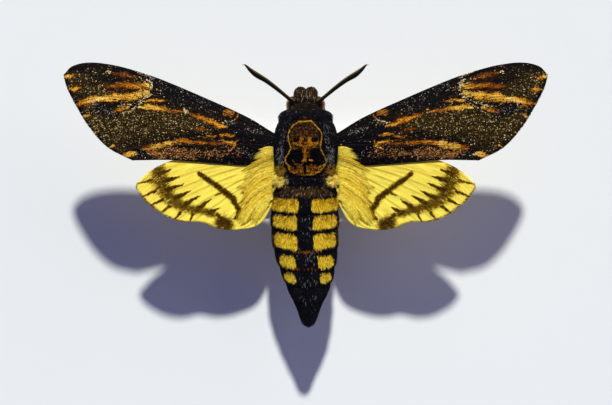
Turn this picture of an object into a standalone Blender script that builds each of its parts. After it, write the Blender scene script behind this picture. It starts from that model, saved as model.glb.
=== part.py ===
"""Death's-head hawkmoth at life size, set with its wings spread, on a small display stand.

Run with: blender --background --python part.py
The model is in metres, +Z up. Its origin is the middle of the stand's underside; the head points to +Y
and the moth's right wings to +X. Named sizes are in millimetres and become metres through MM; the wings
span 120 mm from tip to tip.
"""

import math

import bmesh
import bpy
from mathutils import Vector

MM = 0.001

# Where the moth sits and how close its pieces come, in millimetres.
CLEARANCE = 0.3          # between any two pieces that meet
MOTH_Y = -4.3            # where the moth's own zero point lies, seen from the stand's middle
TAIL_SWAY = 0.9          # the tail tip leans this far to the right, as the photographed one does

# Wing membrane and veins.
MEMBRANE = 0.52
VEIN_HEIGHT = 0.2        # a vein stands this far out of each face
VEIN_FLANK = 0.55        # half width of a vein's foot
DIHEDRAL = math.radians(12.0)
WING_ROOT_X = 7.5
FOREWING_ROOT_Z = 23.3
HINDWING_DROP = 1.65     # the hindwing lies this far under the forewing
FOREWING_CAMBER = 0.9
HINDWING_CAMBER = 0.5

# Wing outlines of the right side: x outwards, y towards the head. The left side mirrors them.
FOREWING_COSTA = (
    (5.6, 12.4), (8.2, 13.7), (14.4, 17.4), (24.4, 21.9), (36.2, 26.8),
    (42.3, 28.8), (48.0, 30.2), (53.8, 30.7), (57.8, 29.7), (59.8, 27.6),
)
FOREWING_TERMEN = ((59.8, 27.6), (58.9, 24.4), (56.5, 19.7), (53.5, 14.8), (49.0, 9.8), (42.9, 6.5))
FOREWING_DORSUM = ((5.6, 8.4), (8.6, 7.4), (13.6, 5.5), (20.1, 5.6), (33.2, 6.6), (42.9, 6.5))
HINDWING_LEAD = ((5.6, 9.0), (15.2, 9.3), (25.2, 8.5), (33.6, 6.5), (38.6, 4.1), (42.1, 0.9))
HINDWING_TERMEN = (
    (42.1, 0.9), (42.1, -0.4), (39.4, -3.9), (34.6, -7.4), (30.4, -8.7),
    (26.4, -8.7), (22.4, -10.2), (18.6, -10.8), (14.4, -10.5),
)
HINDWING_INNER = ((5.6, 3.6), (6.7, 0.0), (8.3, -4.2), (10.6, -8.4), (12.4, -9.9), (14.4, -10.5))

# Veins: (share of the chord at the root, share at the outer margin, where it starts, where it ends).
FOREWING_VEINS = (
    (0.12, 0.015, 0.0, 0.80),
    (0.22, 0.075, 0.0, 0.97),
    (0.29, 0.15, 0.40, 1.0),
    (0.36, 0.28, 0.46, 1.0),
    (0.43, 0.41, 0.48, 1.0),
    (0.50, 0.56, 0.46, 1.0),
    (0.57, 0.71, 0.0, 1.0),
    (0.64, 0.86, 0.30, 1.0),
    (0.82, 0.965, 0.0, 1.0),
)
HINDWING_VEINS = (
    (0.10, 0.02, 0.0, 1.0),
    (0.20, 0.125, 0.30, 1.0),
    (0.29, 0.22, 0.0, 1.0),
    (0.37, 0.31, 0.40, 1.0),
    (0.46, 0.44, 0.36, 1.0),
    (0.56, 0.56, 0.0, 1.0),
    (0.70, 0.75, 0.0, 1.0),
    (0.86, 0.94, 0.0, 1.0),
)
FOREWING_STATIONS = 15
HINDWING_STATIONS = 11
COSTA_WEIGHT = 0.9       # thickness share of the stiff leading edge
MARGIN_SCALLOP = 0.22    # the margin is drawn in this far at each vein's end

# Body sections along y: (y, half width, lowest z, highest z), from front to back.
HEAD_SECTIONS = (
    (24.0, 1.2, 18.0, 20.6),
    (23.5, 2.2, 17.0, 21.6),
    (22.6, 3.0, 16.2, 22.5),
    (21.2, 3.6, 15.8, 23.2),
    (20.2, 4.0, 15.7, 23.7),
    (19.55, 4.3, 15.7, 24.0),
)
THORAX_SECTIONS = (
    (19.25, 5.2, 15.4, 24.5),
    (18.6, 6.4, 14.9, 25.3),
    (16.6, 6.9, 14.3, 26.5),
    (13.7, 7.9, 13.8, 27.3),
    (10.0, 8.1, 13.5, 27.6),
    (6.6, 8.1, 13.5, 27.3),
    (4.6, 7.6, 13.7, 26.8),
    (2.4, 7.2, 14.0, 26.3),
    (0.6, 7.3, 14.2, 26.1),
)
ABDOMEN_SECTIONS = (
    (0.3, 7.4, 14.2, 26.2),
    (-2.6, 8.3, 13.8, 26.6),
    (-7.0, 8.4, 13.6, 26.6),
    (-11.4, 8.3, 13.6, 26.4),
    (-16.7, 7.8, 13.8, 25.9),
    (-21.2, 6.9, 14.2, 25.2),
    (-25.3, 5.7, 14.8, 24.3),
    (-29.6, 4.2, 15.6, 23.2),
    (-33.4, 2.2, 17.1, 21.5),
    (-35.4, 0.6, 18.7, 19.9),
)
SEGMENT_EDGES = (-2.6, -6.8, -11.4, -16.7, -21.2, -25.3, -29.6)   # rear edge of each abdominal ring
SEGMENT_STEP = 0.30      # a ring's rear edge stands this far over the next ring
BODY_SQUARENESS = 2.15   # 2 is an ellipse

# Shoulder flaps and the raised shield between them, as swellings of the thorax.
TEGULA_MIDDLE = math.radians(38.0)   # up from the horizontal, seen along the body
TEGULA_SPREAD = math.radians(17.0)
TEGULA_SWELL = 0.75
TEGULA_FROM_TO = (17.6, 4.6)
GROOVE_DEPTH = 0.6
GROOVE_AT = math.radians(62.0)
GROOVE_WIDTH = math.radians(9.0)

# Eyes, palps, feelers and tongue.
EYE_MIDDLE = (3.15, 21.0, 19.3)
EYE_RADII = (1.85, 2.1, 2.35)
PALP_PATH = ((1.85, 21.6, 15.3), (2.0, 23.4, 15.9), (2.05, 24.2, 17.6), (1.95, 23.9, 19.6), (1.8, 22.9, 20.9))
PALP_RADII = (1.05, 1.35, 1.6, 1.5, 0.9)
ANTENNA_PATH = (
    (3.0, 21.4, 21.9), (4.2, 22.3, 22.4), (7.4, 24.9, 22.8), (10.1, 26.9, 23.0), (12.6, 28.4, 23.1),
    (14.1, 29.6, 23.1), (15.1, 30.6, 23.0), (15.7, 30.95, 22.9), (16.2, 30.7, 22.7),
)
ANTENNA_RADII = (0.62, 0.52, 0.56, 0.64, 0.74, 0.52, 0.28, 0.16, 0.1)
TONGUE_MIDDLE = (22.3, 15.1)    # y and z of the coil's middle
TONGUE_RADIUS = 1.75
TONGUE_PITCH = 1.05             # the coil tightens this much each turn
TONGUE_TURNS = 1.45
TONGUE_THICKNESS = 0.78

# Tufts of long hair. Root and tip on the right side, in rows: the tufts of a row are evenly spread.
TUFT_WIDTH = 1.7
TUFT_THICKNESS = 0.8
TUFT_RINGS = 6
TUFT_SIDES = 4
TUFT_BEND = 0.35         # how far the middle of a tuft bows out of the straight line
TUFT_SUNK = 0.25
THORAX_TUFT_ROWS = (
    (4, (6.4, 2.5, 23.2), (4.6, 2.7, 25.0), (8.5, 0.5, 23.6), (6.2, 0.2, 26.2)),
    (4, (6.8, 4.2, 23.0), (4.9, 4.4, 25.2), (8.8, 2.1, 23.6), (6.5, 1.8, 26.5)),
)
WING_TUFT_ROWS = (
    (4, (9.5, 3.6, 0.0), (12.9, 4.6, 0.0), (9.9, -2.2, 0.6), (15.4, -0.8, 0.5)),
    (4, (9.7, -0.9, 0.0), (13.6, 0.1, 0.0), (10.7, -6.6, 0.6), (16.0, -5.2, 0.5)),
    (3, (10.7, -5.0, 0.0), (13.6, -4.0, 0.0), (12.4, -10.6, 0.4), (16.2, -9.6, 0.4)),
)

# Legs of the right side: hip, thigh, knee, shin, ankle and foot points, then the radius at each.
LEGS = {
    "foreleg": (
        (2.6, 15.4, 14.9), (3.6, 16.2, 12.9), (4.0, 18.7, 12.9), (4.2, 20.5, 12.6), (4.3, 21.3, 11.8),
        (4.3, 20.4, 10.9), (4.5, 17.8, 10.3), (4.8, 14.6, 9.7), (5.1, 11.2, 9.3),
    ),
    "midleg": (
        (2.8, 11.2, 14.4), (4.4, 10.8, 12.2), (7.2, 10.5, 11.9), (9.6, 9.9, 13.0), (10.5, 9.0, 12.9),
        (10.3, 7.8, 11.9), (9.4, 4.8, 10.6), (8.6, 1.0, 9.6), (8.3, -3.2, 9.0),
    ),
    "hindleg": (
        (2.8, 6.8, 14.3), (4.0, 6.2, 12.2), (5.6, 4.2, 11.2), (6.6, 0.4, 11.4), (6.8, -2.2, 11.8),
        (6.2, -5.2, 10.6), (5.6, -9.0, 9.6), (5.2, -13.0, 9.2), (5.0, -17.2, 9.4),
    ),
}
LEG_RADII = (1.25, 1.05, 0.95, 0.78, 0.6, 0.62, 0.56, 0.36, 0.22)

# Display stand.
BASE_SIZE = (58.0, 18.0, 4.0)
BASE_CORNER = 5.0
BASE_EDGE = 0.5
ROD_Y = 2.2              # in the moth's own line
ROD_RADIUS = 1.3

# Colours and finishes: (red, green, blue), roughness, metallic.
FINISHES = {
    "forewing_scales": ((0.035, 0.026, 0.014), 0.75, 0.0),
    "hindwing_scales": ((0.78, 0.53, 0.08), 0.7, 0.0),
    "thorax_pile": ((0.022, 0.020, 0.022), 0.85, 0.0),
    "abdomen_pile": ((0.05, 0.035, 0.01), 0.8, 0.0),
    "head_pile": ((0.035, 0.026, 0.018), 0.85, 0.0),
    "eye_lens": ((0.05, 0.022, 0.01), 0.25, 0.0),
    "feeler": ((0.03, 0.02, 0.01), 0.5, 0.0),
    "leg_scales": ((0.06, 0.042, 0.02), 0.7, 0.0),
    "tongue_horn": ((0.09, 0.035, 0.012), 0.4, 0.0),
    "base_acrylic": ((0.86, 0.87, 0.88), 0.35, 0.0),
    "rod_steel": ((0.62, 0.62, 0.63), 0.3, 1.0),
}


def clear_scene():
    for obj in list(bpy.data.objects):
        bpy.data.objects.remove(obj, do_unlink=True)


def new_collection(name):
    collection = bpy.data.collections.new(name)
    bpy.context.scene.collection.children.link(collection)
    return collection


def finish(name):
    """The material of that name, made at its first use."""
    material = bpy.data.materials.get(name)
    if material is None:
        colour, roughness, metallic = FINISHES[name]
        material = bpy.data.materials.new(name)
        material.use_nodes = True
        shader = material.node_tree.nodes["Principled BSDF"]
        shader.inputs["Base Color"].default_value = (*colour, 1.0)
        shader.inputs["Roughness"].default_value = roughness
        shader.inputs["Metallic"].default_value = metallic
    return material


def knots_of(points):
    """Running distance at each point, from 0 to 1."""
    run = [0.0]
    for a, b in zip(points, points[1:]):
        run.append(run[-1] + (b - a).length)
    return [r / run[-1] for r in run]


def smooth_line(points):
    """A function from 0..1 to a point on one smooth line through these points."""
    points = [Vector(p) for p in points]
    knots = knots_of(points)
    last = len(points) - 1
    slopes = []
    for i in range(len(points)):
        a, b = max(i - 1, 0), min(i + 1, last)
        slopes.append((points[b] - points[a]) / (knots[b] - knots[a]))

    def at(t):
        t = min(max(t, 0.0), 1.0)
        i = min(sum(1 for k in knots[1:] if k < t), last - 1)
        span = knots[i + 1] - knots[i]
        s = (t - knots[i]) / span
        h1 = s * s * (3 - 2 * s)
        return (
            points[i] * (1 - h1)
            + points[i + 1] * h1
            + slopes[i] * (span * s * (1 - s) ** 2)
            - slopes[i + 1] * (span * s * s * (1 - s))
        )

    return at


def ease(value, low, high):
    """0 below low, 1 above high, smooth between."""
    t = min(max((value - low) / (high - low), 0.0), 1.0)
    return t * t * (3 - 2 * t)


def hump(value, middle, width):
    return math.exp(-(((value - middle) / width) ** 2))


def new_object(name, bm, collection, material=None):
    """Makes an object of this mesh, given in millimetres, and frees the mesh."""
    bmesh.ops.scale(bm, vec=(MM, MM, MM), verts=bm.verts)
    mesh = bpy.data.meshes.new(name)
    bm.to_mesh(mesh)
    bm.free()
    obj = bpy.data.objects.new(name, mesh)
    collection.objects.link(obj)
    if material:
        mesh.materials.append(finish(material))
    mesh.shade_smooth()
    return obj


def lofted_sphere(rings, sides, place):
    """A sphere whose rings are put where place(share along, angle) says; its two poles close the ends."""
    bm = bmesh.new()
    bmesh.ops.create_uvsphere(bm, u_segments=sides, v_segments=rings, radius=1.0)
    for vert in bm.verts:
        share = math.acos(max(-1.0, min(1.0, vert.co.z))) / math.pi
        angle = math.atan2(vert.co.y, vert.co.x)
        vert.co = place(share, angle)
    bmesh.ops.triangulate(bm, faces=bm.faces)
    bmesh.ops.recalc_face_normals(bm, faces=bm.faces)
    return bm


def section_at(sections, y):
    """(half width, lowest z, highest z) where the body crosses y, from a smooth run through the sections."""
    if y >= sections[0][0]:
        return sections[0][1:]
    if y <= sections[-1][0]:
        return sections[-1][1:]
    last = len(sections) - 1
    i = next(k for k in range(last) if sections[k + 1][0] <= y)
    span = sections[i + 1][0] - sections[i][0]
    s = (y - sections[i][0]) / span
    values = []
    for column in (1, 2, 3):
        before, here, there, after = (sections[k] for k in (max(i - 1, 0), i, i + 1, min(i + 2, last)))
        left = (there[column] - before[column]) / (there[0] - before[0])
        right = (after[column] - here[column]) / (after[0] - here[0])
        h1 = s * s * (3 - 2 * s)
        values.append(
            here[column] * (1 - h1)
            + there[column] * h1
            + left * span * s * (1 - s) ** 2
            - right * span * s * s * (1 - s)
        )
    return tuple(values)


def sway(y):
    """How far the body's middle line has moved to the right at y."""
    return TAIL_SWAY * max(0.0, -y / 35.0) ** 1.6


def section_point(half_width, low, high, y, angle, grow=0.0):
    """A point on the body's skin: angle 0 is the right side and 90 degrees the back."""
    c, s = math.cos(angle), math.sin(angle)
    power = 2.0 / BODY_SQUARENESS
    half_height = (high - low) / 2
    x = math.copysign(abs(c) ** power, c) * (half_width + grow)
    z = math.copysign(abs(s) ** power, s) * (half_height + grow)
    return Vector((x + sway(y), y, (low + high) / 2 + z))


def thorax_relief(y, angle):
    """Swelling of the shoulder flaps, less the groove between each flap and the shield."""
    side = angle if abs(angle) <= math.pi / 2 else math.copysign(math.pi, angle) - angle
    front, rear = TEGULA_FROM_TO
    along = ease(-y, -front, 3 - front) * ease(y, rear, rear + 3)
    flap = TEGULA_SWELL * hump(side, TEGULA_MIDDLE, TEGULA_SPREAD)
    groove = GROOVE_DEPTH * hump(side, GROOVE_AT, GROOVE_WIDTH)
    return along * (flap - groove)


def no_relief(y, angle):
    return 0.0


def ring_crest(y, angle):
    """As high as the abdomen's rings stand anywhere."""
    return SEGMENT_STEP / 2


def abdomen_relief(y, angle):
    """Each ring swells towards its rear edge and steps down to the next."""
    edges = (0.3,) + SEGMENT_EDGES + (-35.4,)
    for front, rear in zip(edges, edges[1:]):
        if rear <= y <= front:
            share = (front - y) / (front - rear)
            crest = 0.0 if rear == edges[-1] else ease(share, 0.0, 0.75) - ease(share, 0.985, 1.0)
            return SEGMENT_STEP * (crest - 0.5)
    return 0.0


def body_rings(sections, count, extra=()):
    """Where the rings of a body part lie along y, from front to back."""
    front, rear = sections[0][0], sections[-1][0]
    even = [front + (rear - front) * k / count for k in range(count + 1)]
    near = [y for y in even if all(abs(y - e) > 0.5 for e in extra)]
    return sorted(set(near) | set(extra), reverse=True)


def body_part(name, collection, material, sections, rings, sides, relief, grow=0.0):
    """A closed body length with flat ends."""
    def place(share, angle):
        count = len(rings) + 1
        k = round(share * count)
        ends = (rings[0] + grow, rings[-1] - grow)
        if k == 0 or k == count:
            y = ends[0] if k == 0 else ends[1]
            half_width, low, high = section_at(sections, y)
            return Vector((sway(y), y, (low + high) / 2))
        y = rings[k - 1]
        half_width, low, high = section_at(sections, y)
        point = section_point(half_width, low, high, y, angle, relief(y, angle) + grow)
        point.y = min(max(y, ends[1]), ends[0])
        if k == 1:
            point.y = ends[0]
        if k == count - 1:
            point.y = ends[1]
        return point

    bm = lofted_sphere(len(rings) + 1, sides, place)
    return new_object(name, bm, collection, material)


def wing_plane_z(x, root_z):
    return root_z + math.tan(DIHEDRAL) * (x - WING_ROOT_X)


def wing_surface(lead, outer, trail):
    """A function from (share outwards, share of the chord) to (x, y): a patch between the wing's edges."""
    lead_at, outer_at, trail_at = (smooth_line([(*p, 0.0) for p in line]) for line in (lead, outer, trail))
    root_a, root_b = Vector((*lead[0], 0.0)), Vector((*trail[0], 0.0))
    tip_a, tip_b = Vector((*outer[0], 0.0)), Vector((*outer[-1], 0.0))

    def at(u, v):
        ruled = lead_at(u) * (1 - v) + trail_at(u) * v
        across = (root_a.lerp(root_b, v)) * (1 - u) + outer_at(v) * u
        corners = (root_a * (1 - v) + root_b * v) * (1 - u) + (tip_a * (1 - v) + tip_b * v) * u
        return ruled + across - corners

    return at


def vein_share(vein, u):
    """Share of the chord where this vein runs at u."""
    root, tip = vein[0], vein[1]
    return root + (tip - root) * u ** 1.3


def vein_weight(vein, u):
    """Thickness share of a vein at u: it rises out of the membrane where it branches off."""
    start, end = vein[2], vein[3]
    rise = 1.0 if start == 0 else ease(u, start - 0.04, start + 0.04)
    fall = 1.0 if end == 1 else 1 - ease(u, end - 0.08, end)
    return rise * fall * (1 - 0.45 * u)


def wing_lines(veins, u, chord):
    """The lines along the wing at u, as (share of the chord, thickness share, scallop share)."""
    shares = [0.0] + [vein_share(v, u) for v in veins] + [1.0]
    lines = [(0.0, COSTA_WEIGHT * (1 - 0.5 * u), 0.0)]
    for k, vein in enumerate(veins, start=1):
        before, here, after = shares[k - 1], shares[k], shares[k + 1]
        flank = VEIN_FLANK / chord
        low = min(flank, 0.3 * (here - before))
        high = min(flank, 0.3 * (after - here))
        lines.append(((before + here) / 2, 0.0, 0.0))
        lines.append((here - low, 0.08, 0.45))
        lines.append((here, vein_weight(vein, u), 1.0))
        lines.append((here + high, 0.08, 0.45))
    lines.append(((shares[-2] + 1.0) / 2, 0.0, 0.0))
    lines.append((1.0, 0.1, 0.0))
    return lines


def wing(name, collection, material, side, outline, veins, stations, root_z, camber):
    """A thin wing of the given side, with its veins raised from both faces."""
    surface = wing_surface(*outline)
    columns = len(wing_lines(veins, 0.5, 10.0))
    bm = bmesh.new()
    bmesh.ops.create_grid(bm, x_segments=stations - 1, y_segments=columns - 1, size=0.5)
    thickness = {}
    for vert in bm.verts:
        row = round((vert.co.x + 0.5) * (stations - 1))
        column = round((vert.co.y + 0.5) * (columns - 1))
        u = 1 - (1 - row / (stations - 1)) ** 1.15
        chord = (surface(u, 1.0) - surface(u, 0.0)).length
        share, weight, scallop = wing_lines(veins, u, chord)[column]
        flat = surface(u, share)
        if row == stations - 1:
            inwards = surface(u - 0.03, share) - flat
            flat += inwards.normalized() * (MARGIN_SCALLOP * scallop)
        arch = camber * 4 * share * (1 - share) * (0.35 + 0.65 * math.sin(math.pi * min(1.0, u + 0.15)))
        vert.co = Vector((side * flat.x, flat.y, wing_plane_z(flat.x, root_z) + arch))
        thickness[vert.index] = weight
    bm.verts.ensure_lookup_table()
    weights = [thickness[v.index] for v in bm.verts]
    bmesh.ops.triangulate(bm, faces=bm.faces, quad_method="FIXED")
    bmesh.ops.recalc_face_normals(bm, faces=bm.faces)
    obj = new_object(name, bm, collection, material)
    group = obj.vertex_groups.new(name="vein")
    for index, weight in enumerate(weights):
        group.add([index], weight, "REPLACE")
    thickest = MEMBRANE + 2 * VEIN_HEIGHT
    shell = obj.modifiers.new("thickness", "SOLIDIFY")
    shell.thickness = thickest * MM
    shell.offset = 0.0
    shell.vertex_group = "vein"
    shell.thickness_vertex_group = MEMBRANE / thickest
    return obj


def tuft(name, collection, root, tip, up):
    """One flat, tapered lock of hair, bowed away from the skin, with its root sunk into it."""
    along = (tip - root).normalized()
    across = along.cross(up).normalized()
    out = across.cross(along).normalized()
    start = root - along * TUFT_SUNK - out * TUFT_SUNK

    def place(share, angle):
        width = math.sin(math.pi * min(share + 0.18, 1.0) ** 1.3) ** 0.8 if share < 0.999 else 0.0
        middle = start.lerp(tip, share) + out * (TUFT_BEND * 4 * share * (1 - share))
        if share in (0.0, 1.0):
            return middle
        taper = max(width, 0.12)
        return (
            middle
            + across * (math.cos(angle) * taper * TUFT_WIDTH / 2)
            + out * (math.sin(angle) * taper * TUFT_THICKNESS / 2)
        )

    return new_object(name, lofted_sphere(TUFT_RINGS, TUFT_SIDES, place), collection)


def tuft_rows(name, rows, side, lift, up):
    """A collection of tufts; lift(x) gives the height that a row's own heights count from."""
    tufts = new_collection(name)
    for count, first_root, last_root, first_tip, last_tip in rows:
        for k in range(count):
            share = k / (count - 1)
            ends = []
            for first, last in ((first_root, last_root), (first_tip, last_tip)):
                point = Vector(first).lerp(Vector(last), share)
                ends.append(Vector((side * point.x, point.y, point.z + lift(point.x))))
            tuft(name, tufts, *ends, up)
    return tufts


def fuse(obj, pieces):
    """Joins the pieces to the object for good, removes them, and keeps only the largest closed surface."""
    join = obj.modifiers.new("tufts", "BOOLEAN")
    join.operation = "UNION"
    join.operand_type = "COLLECTION"
    join.collection = pieces
    join.solver = "EXACT"
    bpy.context.view_layer.update()
    graph = bpy.context.evaluated_depsgraph_get()
    joined = bpy.data.meshes.new_from_object(obj.evaluated_get(graph))
    obj.modifiers.clear()
    obj.data = joined
    for piece in list(pieces.objects):
        bpy.data.objects.remove(piece)
    bpy.data.collections.remove(pieces)
    keep_largest(joined)


def keep_largest(mesh):
    bm = bmesh.new()
    bm.from_mesh(mesh)
    left = set(bm.verts)
    surfaces = []
    while left:
        surface = {left.pop()}
        edge = set(surface)
        while edge:
            edge = {e.other_vert(v) for v in edge for e in v.link_edges} - surface
            surface |= edge
        left -= surface
        surfaces.append(surface)
    surfaces.sort(key=len)
    small = [v for surface in surfaces[:-1] for v in surface]
    bmesh.ops.delete(bm, geom=small, context="VERTS")
    bmesh.ops.triangulate(bm, faces=bm.faces)
    bm.to_mesh(mesh)
    bm.free()


def cut_by(obj, cutters):
    for cutter in cutters:
        cut = obj.modifiers.new("fit to " + cutter.name, "BOOLEAN")
        cut.operation = "DIFFERENCE"
        cut.object = cutter


def make_cutter(obj):
    obj.hide_render = True
    obj.display_type = "WIRE"
    return obj


def tube(name, collection, material, points, radii, steps):
    """A rod of changing thickness along a smooth line, as a mesh with closed ends."""
    line = smooth_line(points)
    knots = knots_of([Vector(p) for p in points])
    shares = []
    for a, b in zip(knots, knots[1:]):
        shares += [a + (b - a) * k / steps for k in range(steps)]
    shares.append(1.0)
    radius_line = smooth_line([(k * 100, r, 0.0) for k, r in zip(knots, radii)])
    curve = bpy.data.curves.new(name, "CURVE")
    curve.dimensions = "3D"
    curve.bevel_depth = MM
    curve.bevel_resolution = 1
    curve.use_fill_caps = True
    spline = curve.splines.new("POLY")
    spline.points.add(len(shares) - 1)
    for point, share in zip(spline.points, shares):
        point.co = (*(line(share) * MM), 1.0)
        point.radius = max(0.08, radius_line(share).y)
    drawn = bpy.data.objects.new(name, curve)
    collection.objects.link(drawn)
    bpy.context.view_layer.update()
    graph = bpy.context.evaluated_depsgraph_get()
    mesh = bpy.data.meshes.new_from_object(drawn.evaluated_get(graph))
    bpy.data.objects.remove(drawn)
    bm = bmesh.new()
    bm.from_mesh(mesh)
    bpy.data.meshes.remove(mesh)
    bmesh.ops.remove_doubles(bm, verts=bm.verts, dist=1e-6)
    bmesh.ops.triangulate(bm, faces=bm.faces)
    bmesh.ops.recalc_face_normals(bm, faces=bm.faces)
    bmesh.ops.scale(bm, vec=(1 / MM,) * 3, verts=bm.verts)
    return new_object(name, bm, collection, material)


def ellipsoid(name, collection, material, middle, radii, grow=0.0):
    bm = bmesh.new()
    bmesh.ops.create_uvsphere(bm, u_segments=14, v_segments=9, radius=1.0)
    bmesh.ops.scale(bm, vec=[r + grow for r in radii], verts=bm.verts)
    bmesh.ops.translate(bm, vec=middle, verts=bm.verts)
    bmesh.ops.triangulate(bm, faces=bm.faces)
    return new_object(name, bm, collection, material)


def mirrored(point, side):
    return (side * point[0], *point[1:])


def make_body(parts, cutters):
    """Head, thorax and abdomen, and a copy of each grown by the clearance that cuts what meets it."""
    steps = [edge + shift for edge in SEGMENT_EDGES for shift in (0.12, 0.0, -0.6)]
    head_rings = body_rings(HEAD_SECTIONS, 8)
    thorax_rings = body_rings(THORAX_SECTIONS, 14)
    abdomen_rings = body_rings(ABDOMEN_SECTIONS, 14, steps)
    lengths = {
        "head": (HEAD_SECTIONS, head_rings, 18, no_relief, no_relief),
        "thorax": (THORAX_SECTIONS, thorax_rings, 32, thorax_relief, thorax_relief),
        "abdomen": (ABDOMEN_SECTIONS, abdomen_rings, 20, abdomen_relief, ring_crest),
    }
    made, grown = {}, {}
    for name, (sections, rings, sides, relief, outer_relief) in lengths.items():
        made[name] = body_part(name, parts, name + "_pile", sections, rings, sides, relief)
        cutter = body_part("around_" + name, cutters, None, sections, rings, sides, outer_relief, CLEARANCE)
        grown[name] = make_cutter(cutter)
    return made, grown


def make_thorax_tufts(thorax):
    for side in (1, -1):
        up = Vector((side, 0.0, 1.2))
        fuse(thorax, tuft_rows("thorax_tuft", THORAX_TUFT_ROWS, side, lambda x: 0.0, up))


def make_head_parts(parts, cutters, made, grown_head):
    for side, word in ((1, "right"), (-1, "left")):
        middle = mirrored(EYE_MIDDLE, side)
        ellipsoid("eye_" + word, parts, "eye_lens", middle, EYE_RADII)
        socket = make_cutter(ellipsoid("socket_" + word, cutters, None, middle, EYE_RADII, CLEARANCE))
        cut_by(made["head"], [socket])
        cut_by(made["thorax"], [socket])
        palp = tube("palp_" + word, parts, "head_pile", [mirrored(p, side) for p in PALP_PATH], PALP_RADII, 3)
        cut_by(palp, [grown_head, socket])
        path = [mirrored(p, side) for p in ANTENNA_PATH]
        antenna = tube("antenna_" + word, parts, "feeler", path, ANTENNA_RADII, 2)
        cut_by(antenna, [grown_head, socket])
    points, radii = [], []
    count = 20
    for k in range(count + 1):
        turn = TONGUE_TURNS * k / count
        angle = math.radians(120) - 2 * math.pi * turn
        radius = TONGUE_RADIUS - TONGUE_PITCH * turn
        y = TONGUE_MIDDLE[0] + radius * math.cos(angle)
        z = TONGUE_MIDDLE[1] + radius * math.sin(angle)
        points.append((0.0, y, z))
        radii.append(TONGUE_THICKNESS / 2 * (1 - 0.3 * k / count))
    tongue = tube("proboscis", parts, "tongue_horn", points, radii, 1)
    cut_by(tongue, [grown_head])


def make_wings(parts, grown):
    hindwing_root_z = FOREWING_ROOT_Z - HINDWING_DROP

    def over_wing(x):
        return wing_plane_z(x, hindwing_root_z) + MEMBRANE / 2 + 0.15

    for side, word in ((1, "right"), (-1, "left")):
        forewing = wing(
            "forewing_" + word, parts, "forewing_scales", side,
            (FOREWING_COSTA, FOREWING_TERMEN, FOREWING_DORSUM),
            FOREWING_VEINS, FOREWING_STATIONS, FOREWING_ROOT_Z, FOREWING_CAMBER,
        )
        cut_by(forewing, [grown["thorax"]])
        hindwing = wing(
            "hindwing_" + word, parts, "hindwing_scales", side,
            (HINDWING_LEAD, HINDWING_TERMEN, HINDWING_INNER),
            HINDWING_VEINS, HINDWING_STATIONS, hindwing_root_z, HINDWING_CAMBER,
        )
        fuse(hindwing, tuft_rows("wing_tuft", WING_TUFT_ROWS, side, over_wing, Vector((0, 0, 1))))
        cut_by(hindwing, [grown["thorax"], grown["abdomen"]])


def make_legs(parts, grown):
    for side, word in ((1, "right"), (-1, "left")):
        for name, path in LEGS.items():
            points = [mirrored(p, side) for p in path]
            leg = tube(name + "_" + word, parts, "leg_scales", points, LEG_RADII, 2)
            cut_by(leg, [grown["thorax"]])


def make_stand(parts, grown):
    """The base keeps its own place; the rod stands in the moth's line and meets the thorax from below."""
    height = BASE_SIZE[2]
    bm = bmesh.new()
    bmesh.ops.create_cube(bm, size=1.0)
    bmesh.ops.scale(bm, vec=BASE_SIZE, verts=bm.verts)
    bmesh.ops.translate(bm, vec=(0, 0, height / 2), verts=bm.verts)
    upright = [e for e in bm.edges if abs(e.verts[0].co.z - e.verts[1].co.z) > height / 2]
    bmesh.ops.bevel(bm, geom=upright, offset=BASE_CORNER, segments=5, profile=0.5, affect="EDGES")
    base = new_object("stand_base", bm, parts, "base_acrylic")
    edge = base.modifiers.new("soft edge", "BEVEL")
    edge.width = BASE_EDGE * MM
    edge.segments = 2
    edge.limit_method = "ANGLE"
    bm = bmesh.new()
    foot = height + CLEARANCE
    top = THORAX_SECTIONS[4][2] + 3
    bmesh.ops.create_cone(
        bm, cap_ends=True, segments=20, radius1=ROD_RADIUS, radius2=ROD_RADIUS, depth=top - foot
    )
    bmesh.ops.translate(bm, vec=(0, ROD_Y, (top + foot) / 2), verts=bm.verts)
    rod = new_object("stand_rod", bm, parts, "rod_steel")
    cut_by(rod, [grown["thorax"], grown["abdomen"]])
    return base


def main():
    clear_scene()
    parts = new_collection("hawkmoth")
    cutters = new_collection("cutters")
    made, grown = make_body(parts, cutters)
    make_thorax_tufts(made["thorax"])
    make_head_parts(parts, cutters, made, grown["head"])
    make_wings(parts, grown)
    make_legs(parts, grown)
    base = make_stand(parts, grown)
    moth = bpy.data.objects.new("moth_place", None)
    parts.objects.link(moth)
    for obj in list(parts.objects) + list(cutters.objects):
        if obj not in (moth, base):
            obj.parent = moth
    moth.location = (0.0, MOTH_Y * MM, 0.0)


main()
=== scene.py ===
"""Death's-head hawkmoth, set with its wings spread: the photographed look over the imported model.

Sizes are in millimetres in the moth's own coordinates: x to its right wings, y to its head, z up from
the floor, with y = 0 near the waist. world() turns them into metres in the frame. Places of marks are in
pixels of the 612 x 405 photo, and photo_place() finds the pixel at which a point of the moth shows.
"""

import itertools
import math

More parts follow.
